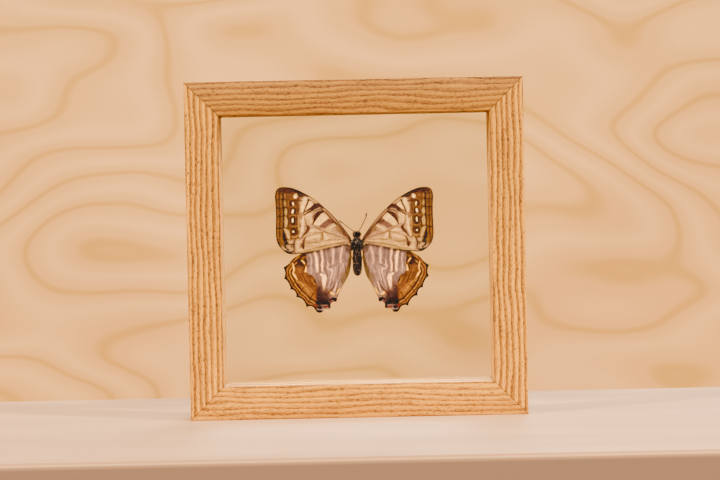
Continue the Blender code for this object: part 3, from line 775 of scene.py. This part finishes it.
def forewing_colouring(places, edge, seed):
    """The field, the bands along the margin with veins across them, then the markings on top."""
    shifted = places + 0.16 * np.stack([drift(places, 1.9, seed), drift(places, 1.9, seed + 1)], -1)
    up = shifted[:, 1]
    colours = np.tile(srgb(FOREWING_TONES["sand"]), (len(places), 1))
    mark(colours, shifted, FOREWING_TONES, FOREWING_GROUND)
    depth, _ = to_line(shifted, rounded(FOREWING_MARGIN))
    banded = soft_step(up + 0.5, 3.0) * soft_step(26.0 - up, 2.2)
    for tone, place, width, blur, strength in FOREWING_BANDS:
        beads = 0.12 * np.cos(up * math.pi) if place > 1.5 else 0
        band = soft_step(width / 2 + beads - np.abs(depth - place), blur)
        lay(colours, FOREWING_TONES[tone], band * strength * banded)
    off_vein = np.min([np.abs(up - end) for end in FOREWING_VEIN_ENDS], axis=0)
    lay(colours, FOREWING_TONES["black"],
        soft_step(0.28 - off_vein, 0.5) * soft_step(4.6 - depth, 0.8) * 0.7 * banded)
    mark(colours, shifted, FOREWING_TONES, FOREWING_MARKINGS)
    colours = scale_rows(colours, places, 0.2, seed)
    lay(colours, FOREWING_TONES["black"],
        soft_step(0.5 - edge, 0.3) * soft_step(places[:, 0] - 20, 4.0) * 0.9)
    lay(colours, FOREWING_TONES["black"], soft_step(0.3 - edge, 0.3) * 0.6)
    return colours


add_wings("forewing", FOREWING_SCALES, forewing_colouring, forewing_relief, 11)

# The hindwings. A dusky mauve field with cream stripes, an ochre outer third with fine dark lines
# along its toothed edge, and a black corner with a red bar and two small lobes.
HINDWING_TONES = {
    "black": "070707", "soot": "160707", "umber": "0C0707", "russet": "1C0707",
    "chestnut": "2D1307", "rust": "411C07", "red": "4B0C07", "ochre": "4B2707", "orange": "663807",
    "apricot": "7A4D07", "butter": "D89407", "bronze": "493107", "walnut": "371E0D",
    "mauve": "463126", "dusk": "513A2F", "dust": "6C4E40", "shell": "9F7257", "cream": "C0845C",
    "ivory": "F3A85A",
}
HINDWING_SCALES = ((1, 1), (0.968, 1.01))
HINDWING_TEETH = [(34.8, -11.2), (34.9, -16.2), (31.9, -21.3), (29.2, -25.1), (24.7, -29.9)]
HINDWING_VEINS = [
    [(2.9, -2), (6, -3), (10, -9), (13.6, -18), (16, -25), (16.8, -31)],
    [(6, -3), (12.6, -8), (17.4, -16), (21.2, -23.3), (24.7, -29.6)],
    [(6, -3), (14, -5.4), (20.4, -12.4), (25.3, -20), (29.2, -24.9)],
    [(14, -5.4), (22.8, -10), (29.6, -17.2), (31.9, -21.2)],
    [(6, -3), (15, -3.2), (24.2, -7.6), (30.4, -13.3), (34.9, -16)],
    [(2.9, -1.6), (10, -0.4), (20, -2.4), (28, -6.4), (34.6, -11)],
    [(2.9, -2.6), (5.6, -8), (8.4, -16), (11, -24), (11, -27.4)],
]
HINDWING_MARGIN = [(27.5, -5.6), (30.8, -7.6), (33, -9.9), (34.3, -12), (34.2, -15.2), (32.8, -18.2),
                   (31.3, -20.8), (29, -24), (26.6, -26.3), (24.4, -28.6), (22.2, -29.8), (20.2, -31)]
HINDWING_GROUND = [
    # The ochre outer part and the dusky field
    ("dusk", 1.5, 0.7, (20.5, -13.5), (17.4, -15), (16.8, -20), (18.4, -22), (19.6, -20)),
    ("ochre", 0.68, 1, (24.6, -4.6), (23.9, -8), (24.1, -10.5), (24.4, -13), (22.9, -14.5), (21.3, -15.4),
     (20.3, -16.6), (19.7, -18.6), (19.2, -20.5), (18.9, -23), (19, -31), (26, -31), (33, -25), (37, -16),
     (36, -9), (30, -5), (27, -4)),
    ("ochre", 1.4, 0.85, (24.8, -5.2), (29.6, -7.2), (30.6, -10), (30.2, -14.5), (28.8, -17.6),
     (26.2, -17.2), (24.6, -14), (24.6, -9)),
    ("orange", 1.6, 0.9, (27.4, -19), (25.4, -18.6), (23.4, -20.6), (21, -21.4), (20.4, -25),
     (22.6, -25.6), (26, -22.8)),
]
# Bands along the margin: tone, distance in from the margin, width, blur, strength.
HINDWING_BANDS = [
    ("orange", 0.75, 0.9, 0.4, 0.95), ("russet", 1.4, 0.6, 0.3, 0.97),
    ("apricot", 2.05, 0.65, 0.35, 0.97), ("russet", 2.8, 0.75, 0.35, 0.97),
]
HINDWING_MARKINGS = [
    # Pale crescents inside the bands
    ("butter", 0.34, 0.95, (30.9, -9.2, 0.3), (30.6, -10.6, 0.6), (30.4, -12.2, 0.7), (30.7, -13.4, 0.4)),
    ("butter", 0.34, 0.95, (31.1, -13.5, 0.4), (30.4, -14.6, 0.8), (29.6, -15.8, 0.8),
     (28.9, -16.9, 0.4)),
    ("apricot", 0.45, 0.9, (29.4, -17.4, 0.5), (28.2, -18.2, 1), (27, -18.8, 1), (25.8, -20, 0.9)),
    ("apricot", 0.52, 0.9, (25.6, -20.4, 0.7), (24.4, -21.8, 1.2), (23, -23.2, 1)),
    ("orange", 0.52, 0.8, (22.6, -23, 0.8), (21.6, -25, 1.1), (20.2, -26.4, 0.9)),
    # Lines and the eyespot of the ochre part
    ("russet", 0.38, 0.9, (24.4, -5.3, 0.7), (26.3, -5.6, 0.8), (28, -6.9, 0.6), (29.6, -8.2, 0.5),
     (30.3, -10, 0.4)),
    ("apricot", 0.3, 0.85, (26.6, -5.1, 0.3), (28.6, -6, 0.6), (29.6, -6.9, 0.5)),
    ("russet", 0.3, 0.85, (29.5, -6.3, 0.4), (30.5, -7.6, 0.7), (31.4, -8.8, 0.6)),
    ("russet", 0.68, 0.9, (26.9, -8.8), (2, 1.9), 30),
    ("umber", 0.38, 0.85, (27.4, -7.9), (0.8, 0.6), 0),
    ("umber", 0.38, 0.8, (26.4, -10), (0.8, 0.7), 0),
    ("umber", 0.38, 0.9, (25.2, -6.9, 0.6), (24.4, -8.2, 0.8), (24.3, -9.6, 0.6)),
    ("butter", 0.25, 0.97, (26.6, -7.6, 0.35), (25.9, -8.2, 0.6), (25.2, -9.3, 0.45)),
    ("walnut", 0.3, 0.8, (24.5, -9.5, 0.4), (24, -10.8, 0.4), (23.9, -12.4, 0.4)),
    ("umber", 0.3, 0.9, (25.4, -10.6, 0.6), (25.4, -12.4, 0.8), (25, -13.6, 0.5)),
    ("butter", 0.25, 1, (24.5, -10.8, 0.25), (24.6, -12, 0.55), (24.8, -13.2, 0.8)),
    ("walnut", 0.45, 0.6, (28.6, -10.6), (0.7, 0.5), 0),
    ("orange", 0.38, 0.8, (28, -11.8, 0.5), (27.4, -13.4, 0.6), (26.6, -15.2, 0.5), (25.8, -17, 0.4)),
    ("rust", 0.68, 0.6, (28.2, -15.3), (1.1, 1.5), 25),
    ("russet", 0.38, 0.8, (26.8, -14, 0.5), (25.8, -15.6, 0.6), (24.9, -17.6, 0.5), (24.2, -19, 0.4)),
    ("orange", 0.3, 0.8, (25.6, -14.6, 0.3), (24.8, -16.4, 0.5), (23.6, -18.2, 0.4)),
    ("rust", 0.6, 0.6, (23.4, -15.5), (1.2, 0.7), -20),
    ("chestnut", 0.3, 0.85, (24.2, -15, 0.3), (22.8, -15.6, 0.5), (21.6, -15.2, 0.4)),
    ("apricot", 0.26, 0.9, (22.2, -16.8, 0.3), (21.6, -17.4, 0.6), (21, -18.8, 0.5), (20.4, -19.5, 0.3)),
    ("umber", 0.26, 0.95, (21, -16.9, 0.4), (20.6, -17.8, 0.8), (20.1, -18.9, 0.5)),
    ("rust", 0.38, 0.8, (23, -17.6, 0.5), (22, -19.6, 0.7), (20.6, -20.4, 0.6)),
    ("rust", 0.45, 0.8, (22.4, -20.2, 0.5), (21.4, -21.6, 0.6), (20.2, -22.2, 0.8)),
    ("ochre", 0.45, 0.8, (19.6, -24.2), (0.6, 1.6), 0),
    # Veins that run out to the teeth
    ("umber", 0.25, 0.9, (31.9, -21.2, 0.4), (31.2, -19.7, 0.35), (30.4, -18.3, 0.3), (29.6, -17.2, 0.2)),
    ("russet", 0.25, 0.9, (29.2, -24.9, 0.4), (28, -23.2, 0.35), (26.7, -21.6, 0.35), (25.3, -20, 0.25)),
    ("umber", 0.25, 0.9, (24.7, -29.6, 0.4), (23.5, -27.2, 0.4), (22.3, -25.2, 0.35),
     (21.2, -23.3, 0.25)),
    ("russet", 0.3, 0.85, (21.4, -23.8), (0.35, 0.5), 30),
    ("russet", 0.25, 0.8, (34.9, -16, 0.3), (33.4, -15, 0.3), (31.8, -13.9, 0.25), (30.4, -13.3, 0.2)),
    # Cream and mauve stripes of the field
    ("cream", 0.3, 0.9, (6.8, -1.2, 0.7), (7.4, -4, 0.8), (7.9, -7, 0.7), (7.9, -9.4, 0.5)),
    ("cream", 0.3, 0.95, (12, -1.6, 1.4), (11.4, -3.4, 1.1), (11.6, -5.6, 0.8), (11.5, -8, 0.8),
     (11.6, -10, 0.6)),
    ("mauve", 0.45, 0.7, (14, -2.2, 1.2), (13.6, -5, 1.5), (13, -8, 1.3), (13.2, -9.6, 0.8)),
    ("dusk", 0.45, 0.7, (10, -2, 1.2), (9.6, -5, 1.6), (9.8, -8, 1.4), (10, -9.8, 0.8)),
    ("mauve", 0.45, 0.7, (15.6, -2.6, 1), (15.4, -5.6, 1.2), (15.2, -9, 1.2), (15.6, -12, 0.9)),
    ("mauve", 0.38, 0.8, (18.6, -3.6, 1.3), (18, -5.6, 1), (17.8, -8, 0.9), (18, -10.6, 1),
     (17.8, -13.6, 1.1)),
    ("ivory", 0.3, 0.95, (17.2, -2.6, 1.1), (16.9, -5.2, 0.6), (16.5, -7.4, 0.6), (16.9, -9.6, 0.8),
     (16.9, -12, 0.7), (16.8, -13.4, 0.4)),
    ("ivory", 0.3, 0.95, (20.3, -4.2, 1.1), (19.7, -6, 1.2), (19.4, -8.4, 1.1), (19.3, -11, 1),
     (19.2, -12.6, 0.8), (19.3, -13.6, 0.3)),
    ("ivory", 0.3, 0.95, (17.3, -14.9), (0.7, 0.5), 20),
    ("dusk", 0.38, 0.8, (21, -5.4, 0.8), (20.9, -8.6, 1.2), (20.9, -12, 1.1)),
    ("shell", 0.3, 0.85, (22.6, -5, 0.9), (22, -7.2, 0.5), (22.2, -9.6, 0.5), (22.2, -12, 0.5),
     (22, -13.8, 0.4)),
    ("mauve", 0.38, 0.7, (23.4, -5.6, 0.6), (23.1, -8.4, 0.9), (23.3, -11, 0.8)),
    ("cream", 0.26, 0.9, (14.2, -8.6, 0.3), (14, -10.2, 0.7), (14.6, -11.4, 0.7), (13.4, -12.4, 0.5)),
    ("mauve", 0.26, 0.85, (10.8, -10, 0.4), (12.4, -10.8, 0.6), (13.6, -11.6, 0.4)),
    ("cream", 0.3, 0.9, (13.6, -12.3, 0.4), (12.2, -12.6, 0.8), (12, -14.4, 0.6), (12.9, -16.4, 0.4)),
    ("mauve", 0.38, 0.8, (15.4, -12.6, 0.8), (14.6, -14.2, 1), (14.3, -16, 0.8)),
    ("mauve", 0.3, 0.6, (8.8, -9, 0.5), (8.9, -13, 0.6), (9.8, -17, 0.6)),
    ("shell", 0.3, 0.7, (10.4, -11.4, 0.5), (10.9, -14.6, 0.6), (12, -18, 0.5)),
    ("shell", 0.3, 0.75, (8, -12, 0.4), (8.9, -16, 0.5), (9.8, -19.4, 0.4)),
    ("dusk", 0.38, 0.6, (6.2, -5, 0.6), (6.4, -9, 0.9), (6.8, -12.4, 0.8)),
    ("shell", 0.45, 0.6, (7, -9.6, 0.7), (7, -12, 0.9)),
    ("mauve", 0.3, 0.6, (5, -3, 0.5), (5.6, -6, 0.6), (5.6, -9, 0.5)),
    # The fan of stripes below the cell
    ("ivory", 0.3, 1, (17.2, -14.9), (15.6, -15), (14.8, -16.4), (15, -18.4), (15.7, -20.6),
     (16.1, -22.2), (16.6, -20.4), (17, -18), (17, -16.4)),
    ("mauve", 0.3, 0.9, (14.6, -17, 0.3), (15, -19.2, 0.5), (15.6, -21.6, 0.6), (15.8, -24, 0.5)),
    ("dusk", 0.38, 0.8, (13.4, -16.6, 0.6), (14.3, -19.8, 1), (15, -23.2, 0.9)),
    ("shell", 0.3, 0.8, (12.6, -16, 0.5), (13.4, -18.6, 0.6), (14.2, -21, 0.3)),
    ("mauve", 0.3, 0.8, (11.6, -15, 0.4), (12.4, -18.4, 0.5), (13.6, -21.6, 0.5)),
    ("walnut", 0.34, 0.95, (10.8, -17.8, 0.3), (11.2, -19.8, 0.7), (12.4, -21.8, 1.1), (14.2, -23.6, 1.2),
     (15.2, -24.8, 0.8)),
    ("cream", 0.3, 0.9, (10, -18.4, 0.3), (10.6, -20.6, 0.6), (11.2, -22.4, 0.7)),
    ("dusk", 0.38, 0.7, (8.4, -14.4, 0.8), (9, -18, 1), (9.6, -20.4, 0.6)),
    ("bronze", 0.38, 0.85, (9.8, -21.4, 0.8), (10.2, -22.8, 1.2)),
    ("butter", 0.26, 0.95, (8.3, -21.2, 0.3), (9, -22.4, 0.7), (9.9, -23.9, 0.5)),
    ("butter", 0.38, 0.95, (12.4, -24), (1.3, 0.7), 30),
    ("bronze", 0.38, 0.8, (12.8, -24.9, 0.5), (11.2, -25.1, 0.7), (10.4, -25, 0.4)),
    ("bronze", 0.38, 0.95, (2.9, -2.4, 0.8), (3.2, -6, 1.2), (3.9, -10, 1.6), (4.8, -13.4, 1.7),
     (5.4, -16, 0.9)),
    ("chestnut", 0.3, 0.85, (2.8, -4, 0.6), (3.2, -8, 0.6), (4.2, -11.4, 0.6)),
    ("chestnut", 0.25, 0.8, (5.6, -11, 0.4), (5.8, -13, 0.5), (5.2, -14.6, 0.4)),
    ("bronze", 0.3, 0.9, (4.6, -15.4, 0.6), (6.2, -18.4, 0.6), (7.6, -20.6, 0.4)),
    ("bronze", 1.2, 0.7, (5.6, -14), (7.6, -14.6), (8.2, -18), (7.4, -19.6), (5.6, -17)),
    ("umber", 0.25, 0.95, (7.9, -20.9, 0.3), (9.2, -23.8, 0.4), (10, -25.6, 0.6)),
    ("walnut", 1.2, 0.8, (2, -0.5), (5, -0.6), (5.6, -3), (3.6, -5), (2.2, -4)),
    # The black corner with its red bar, and the lobes
    ("rust", 2.4, 0.6, (19.6, -19.5), (17.4, -18), (16.2, -20.6), (14.4, -22), (12.6, -24.2), (13.4, -27),
     (19.8, -28)),
    ("russet", 1.8, 0.85, (19.4, -21), (17.8, -20), (17, -22.6), (15.4, -22.8), (14.2, -24.6),
     (13.4, -26.4), (15, -29), (19.8, -29), (19.8, -25)),
    ("soot", 1.3, 0.97, (18.9, -24), (17.9, -24.6), (16.8, -25.8), (15.2, -26.4), (14.2, -27.4),
     (14.4, -28.8), (19.8, -29.2), (19.9, -27)),
    ("black", 0.52, 1, (18.8, -28), (1.3, 1.2), 0),
    ("black", 0.45, 1, (15, -28.4), (1.9, 1), 8),
    ("soot", 0.38, 1, (13.9, -26.8), (12.6, -25.9), (11.4, -25.8), (10, -26.4), (10.2, -28),
     (11.2, -27.8), (12.6, -27.2), (13.4, -27.6)),
    ("black", 0.3, 0.95, (10.7, -27.2), (0.8, 0.7), 0),
    ("red", 0.3, 0.95, (12.8, -27.9), (0.8, 0.5), 20),
    ("black", 0.3, 1, (13.7, -29.9), (0.85, 1.4), 0),
    ("mauve", 0.38, 0.75, (17.6, -29.5), (1, 0.4), -15),
    ("red", 0.26, 1, (17, -29.9, 0.3), (15.9, -30.2, 0.9), (14.8, -30.2, 0.9)),
    ("red", 0.3, 0.95, (20.1, -29.8), (0.6, 0.8), 0),
    ("chestnut", 0.3, 0.9, (18, -29.9, 0.3), (16.8, -30.6, 0.5), (15.4, -31, 0.4)),
    ("black", 0.38, 1, (18.6, -30.6), (1.3, 0.9), 0),
    ("dust", 0.26, 0.9, (19.4, -31.3), (0.6, 0.25), 25),
    ("black", 0.3, 1, (18.7, -32.4), (1.8, 0.65), 0),
]


def hindwing_relief(places, edge):
    """Veins and folds on a wing that bows backward in its middle."""
    return veins_and_folds(places, edge, HINDWING_VEINS) - 0.15 * np.sin(places[:, 0] / 35 * math.pi)


def hindwing_colouring(places, edge, seed):
    """The field and the ochre, the lines along the margin, the markings on top, then the dark
    outline that thickens to a point at each tooth."""
    shifted = places + 0.16 * np.stack([drift(places, 1.7, seed), drift(places, 1.7, seed + 1)], -1)
    colours = np.tile(srgb(HINDWING_TONES["dust"]), (len(places), 1))
    mark(colours, shifted, HINDWING_TONES, HINDWING_GROUND)
    depth, _ = to_line(shifted, rounded(HINDWING_MARGIN))
    in_ochre = soft_step(shifted[:, 0] - 19.6, 0.8) * soft_step(-6.6 - shifted[:, 1], 2.0)
    for tone, place, width, blur, strength in HINDWING_BANDS:
        band = soft_step(width / 2 - np.abs(depth - place), blur)
        lay(colours, HINDWING_TONES[tone], band * strength * in_ochre)
    mark(colours, shifted, HINDWING_TONES, HINDWING_MARKINGS)
    colours = scale_rows(colours, places, 0.16, seed)
    outer = soft_step(places[:, 0] - 19.0, 1.5) * soft_step(-9.6 - places[:, 1], 1.0)
    lay(colours, HINDWING_TONES["black"], soft_step(0.85 - edge, 0.3) * outer)
    for tooth in HINDWING_TEETH:
        lay(colours, HINDWING_TONES["black"], soft_step(1.05 - np.hypot(*(places - tooth).T), 0.5))
    lay(colours, HINDWING_TONES["umber"], soft_step(0.2 - edge, 0.3) * (1 - outer) * 0.7)
    return colours


add_wings("hindwing", HINDWING_SCALES, hindwing_colouring, hindwing_relief, 31, HINDWING_TEETH)

# The body. Head, thorax and abdomen are one, with the legs folded under it, all clothed in short
# black hair with some grey-brown and pale ones among them, the palest partly painted highlight. The hair
# leans back towards the tail.
HAIR_COUNT, HAIR_LENGTH, HAIR_WIDTH = 11000, 0.75, 0.13
CHEST_SHARE, TAIL_SHARE, LEG_SHARE, SHOULDER_SHARE = 1.1, 0.65, 0.35, 1.7
LEAN_BACK, LEAN_SPREAD, NECK_LIFT, SHOULDER_LEAN, STAND_OUT = -1.3, 0.25, 1.6, 0.9, 0.6
CLUMP_SIZE, CLUMP_WEIGHT = 0.42, 0.35
GAP_HALF = GLASS_FAR - 0.12
LEG_DEPTH, LEG_OUT = 1.9, 2.5
WAIST, SHOULDER, NECK = -3.3, 2.4, 3.0
BLACK_HAIR, LEG_HAIR = "070707", "2B1A07"
CHEST_HAIR_AND_HIGHLIGHT, TAIL_HAIR_AND_HIGHLIGHT = ("584B3F", "E5B792"), ("58453A", "DB9B78")
LEG_SKIN, BODY_SKIN = "1F0707", "070707"


def body_skin():
    """The solid's own form, welded and smoothed."""
    shape = bmesh.new()
    shape.from_mesh(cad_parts["butterfly_body"].data)
    bmesh.ops.remove_doubles(shape, verts=shape.verts, dist=0.004 * MM)
    bmesh.ops.triangulate(shape, faces=shape.faces)
    bmesh.ops.subdivide_edges(shape, edges=shape.edges, cuts=1, use_grid_fill=True)
    for _ in range(2):
        bmesh.ops.smooth_vert(shape, verts=shape.verts, factor=0.5, use_axis_x=True, use_axis_y=True,
                              use_axis_z=True)
    mesh = bpy.data.meshes.new("body skin")
    shape.to_mesh(mesh)
    shape.free()
    return mesh


def on_legs(places, out):
    """Which places belong to the legs, that lie behind the body or farther out than it reaches."""
    return (places[:, 1] > LEG_DEPTH) | (np.abs(places[:, 0] - THORAX_X) > out)


def haired_mesh(skin):
    """The skin, and over it short flat hairs, each three triangles that narrow to a point."""
    rng = np.random.default_rng(5)
    skin.calc_loop_triangles()
    triangles = skin.loop_triangles
    corners = np.array([[skin.vertices[i].co for i in tri.vertices] for tri in triangles])
    normals = np.array([tri.normal for tri in triangles])
    areas = np.array([tri.area for tri in triangles])
    picks = rng.choice(len(areas), HAIR_COUNT, p=areas / areas.sum())
    a, b = rng.random((2, HAIR_COUNT))
    flip = a + b > 1
    a[flip], b[flip] = 1 - a[flip], 1 - b[flip]
    tri = corners[picks]
    roots = (tri[:, 0] + a[:, None] * (tri[:, 1] - tri[:, 0]) + b[:, None] * (tri[:, 2] - tri[:, 0])) / MM
    out = normals[picks]
    height = roots[:, 2] - THORAX_Z
    leg = on_legs(roots, LEG_OUT)

    # Long on the shoulders, where it stands out sideways, short on the tail and shortest on the legs
    length = HAIR_LENGTH * rng.uniform(0.5, 1.2, HAIR_COUNT)
    length *= np.where(height > WAIST, CHEST_SHARE, TAIL_SHARE) * np.where(leg, LEG_SHARE, 1)
    lean = np.stack([rng.normal(0, LEAN_SPREAD, HAIR_COUNT), rng.normal(0, LEAN_SPREAD, HAIR_COUNT),
                     rng.normal(LEAN_BACK, 0.3, HAIR_COUNT)], -1)
    lean[height > NECK, 2] += NECK_LIFT
    shoulder = (np.abs(out[:, 0]) > 0.45) & (np.abs(height) < NECK) & ~leg
    lean[shoulder, 0] += np.sign(out[shoulder, 0]) * SHOULDER_LEAN
    length[shoulder] *= SHOULDER_SHARE
    aim = out * STAND_OUT + lean
    aim /= np.linalg.norm(aim, axis=1)[:, None]
    across = np.cross(aim, out)
    across /= np.maximum(np.linalg.norm(across, axis=1), 1e-6)[:, None]
    across *= HAIR_WIDTH * rng.uniform(0.6, 1.2, HAIR_COUNT)[:, None]
    bend = roots + aim * length[:, None] * 0.55 + out * 0.08
    points = np.stack([roots - across / 2, roots + across / 2, bend + across * 0.35, bend - across * 0.35,
                       roots + aim * length[:, None]], 1)
    points[..., 1] = np.clip(points[..., 1], -GAP_HALF, GAP_HALF)
    skin_points = np.array([vertex.co for vertex in skin.vertices]) / MM
    start = len(skin_points)
    faces = [tuple(tri.vertices) for tri in triangles]
    for i in range(start, start + 5 * HAIR_COUNT, 5):
        faces += [(i, i + 1, i + 2), (i, i + 2, i + 3), (i + 3, i + 2, i + 4)]
    mesh = bpy.data.meshes.new("haired body")
    mesh.from_pydata((np.vstack([skin_points, points.reshape(-1, 3)]) * MM).tolist(), [], faces)

    # Pale hairs stand in small clumps, a few of them nearly white: partly grey-brown hair and partly
    # painted highlight along the hair, the nearly white ones most of all
    pale_and_highlight_score = rng.random(HAIR_COUNT) + CLUMP_WEIGHT * drift(roots[:, [0, 2]], CLUMP_SIZE, 7)
    chest = (height > WAIST) & (height < SHOULDER)
    tones = np.tile(srgb(BLACK_HAIR), (HAIR_COUNT, 1))
    for part, shades, levels in ((chest, CHEST_HAIR_AND_HIGHLIGHT, (0.98, 1.1)), (~chest, TAIL_HAIR_AND_HIGHLIGHT, (0.93, 1.08))):
        for shade, level in zip(shades, levels):
            tones[(pale_and_highlight_score > level) & part] = srgb(shade)
    tones[leg] = srgb(LEG_HAIR)
    skin_tones = np.where(on_legs(skin_points, LEG_OUT + 0.05)[:, None], srgb(LEG_SKIN), srgb(BODY_SKIN))
    paint(mesh, "hair_colour", np.vstack([skin_tones, np.repeat(tones, 5, axis=0)]))
    return mesh


def insect_hair():
    """Dry chitin and hair: nearly black, with a weak gloss along each hair."""
    material, add, shader, place = new_material("butterfly hair over black chitin")
    colour = add("Attribute", attribute_name="hair_colour", out="Color")
    speck = add("TexNoise", place, Scale=2.2, Detail=3.0)
    shade = add("ValToRGB", speck, stops=[(0.35, "A8A29C"), (0.65, "FFFFFF")])
    toned = add("Mix", data_type="RGBA", blend_type="MULTIPLY", Factor=1.0, A=colour, B=shade, out="Result")
    feed(shader, {"Base Color": toned, "Roughness": add("MapRange", speck, To_Min=0.45, To_Max=0.75),
                  "Specular IOR Level": 0.04})
    return material


dress(mesh_object("haired_body", haired_mesh(body_skin()), insect_hair()), "butterfly_body")

# The eyes. Two domes of tiny lenses, nearly black and glossy, that stand out at the sides of the head.
EYE_RADIUS = 0.88
EYE_PLACE = (1.0, -0.25, 4.1)
EYE_SHAPE = (0.85, 1.0, 1.1)
EYE_TONE = "070707"


def facetted_eye():
    """Facetted chitin: nearly black, glossy, broken up by its lenses, drawn 0.1 mm wide to show."""
    material, add, shader, place = new_material("facetted eye")
    lenses = add("TexVoronoi", place, Scale=9.0, out="Distance")
    feed(shader, {"Base Color": EYE_TONE, "Roughness": 0.22,
                  "Normal": add("Bump", Height=lenses, Strength=0.4, Distance=0.00003)})
    return material


eye_chitin = facetted_eye()
for side, word in ((-1, "left"), (1, "right")):
    ball = bmesh.new()
    out, back, up = EYE_PLACE
    middle = Matrix.Translation(Vector((THORAX_X + side * out, back, THORAX_Z + up)) * MM)
    bmesh.ops.create_icosphere(ball, subdivisions=4, radius=EYE_RADIUS * MM,
                               matrix=middle @ Matrix.Diagonal((*EYE_SHAPE, 1)))
    eye = mesh_object(f"eye_{word}", to_mesh(ball, f"eye {word}"), eye_chitin)
    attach(eye, "root")

# The antennae. Each is a stalk of some forty joints, a little swollen, that ends in a slim club.
STALK_RADIUS, CLUB_RADIUS, CLUB_START = 0.23, 0.42, 0.74
JOINTS, RINGS_A_JOINT, STALK_SIDES = 42, 6, 10
HORN_TONE = "070707"
ANTENNAE = {
    "antenna_left": [(-0.6, -0.8, 4.9), (-1.0, -1.3, 5.4), (-2.0, -1.5, 6.2), (-4.7, -1.75, 8.2),
                     (-6.5, -1.75, 9.6), (-7.4, -1.75, 10.3), (-8.1, -1.75, 10.8), (-8.45, -1.75, 11.05)],
    "antenna_right": [(0.6, -0.8, 4.9), (0.9, -1.3, 5.5), (1.7, -1.5, 6.8), (3.3, -1.75, 9.8),
                      (4.5, -1.75, 12.3), (4.72, -1.75, 13.4), (4.65, -1.75, 14.2), (4.57, -1.75, 14.5)],
}


def antenna_mesh(name, points):
    """A tube swept along the stalk, swelling a little in every joint and much in the club."""
    line = rounded(points, steps=20)
    lengths = np.concatenate([[0], np.cumsum(np.linalg.norm(np.diff(line, axis=0), axis=1))])
    spots = np.linspace(0, lengths[-1], JOINTS * RINGS_A_JOINT)
    centre = np.stack([np.interp(spots, lengths, line[:, axis]) for axis in range(3)], -1)
    share = spots / lengths[-1]
    heading = np.gradient(centre, axis=0)
    heading /= np.linalg.norm(heading, axis=1)[:, None]
    joint = np.abs(np.sin(share * JOINTS * math.pi))
    club = np.clip((share - CLUB_START) / 0.2, 0, 1)
    radius = STALK_RADIUS * (0.88 + 0.16 * joint) + (CLUB_RADIUS - STALK_RADIUS) * club ** 1.5
    radius *= np.sqrt(np.clip((1.0 - share) / 0.06, 0.0, 1.0))
    across = np.cross(heading, (0, 1, 0))
    across /= np.linalg.norm(across, axis=1)[:, None]
    other = np.cross(heading, across)
    turns = np.linspace(0, math.tau, STALK_SIDES, endpoint=False)[:, None]
    rings = centre[:, None] + radius[:, None, None] * (across[:, None] * np.cos(turns)
                                                       + other[:, None] * np.sin(turns))
    shape = bmesh.new()
    rings = [[shape.verts.new(((THORAX_X + x) * MM, y * MM, (THORAX_Z + z) * MM)) for x, y, z in ring]
             for ring in rings.tolist()]
    for near, far in zip(rings, rings[1:]):
        for j in range(STALK_SIDES):
            k = (j + 1) % STALK_SIDES
            shape.faces.new((near[j], near[k], far[k], far[j]))
    shape.faces.new(rings[0][::-1])
    bmesh.ops.remove_doubles(shape, verts=shape.verts, dist=0.002 * MM)
    return to_mesh(shape, name)


def antenna_horn(name):
    """Dry horn: nearly black, with a dull, finely uneven skin."""
    material, add, shader, place = new_material(name)
    speck = add("TexNoise", place, Scale=3.0, Detail=3.0)
    feed(shader, {"Base Color": HORN_TONE, "Roughness": 0.5, "Specular IOR Level": 0.15,
                  "Normal": add("Bump", Height=speck, Strength=0.3, Distance=0.00003)})
    return material


for name, points in ANTENNAE.items():
    dress(mesh_object(f"jointed_{name}", antenna_mesh(name, points), antenna_horn(f"horn of {name}")), name)
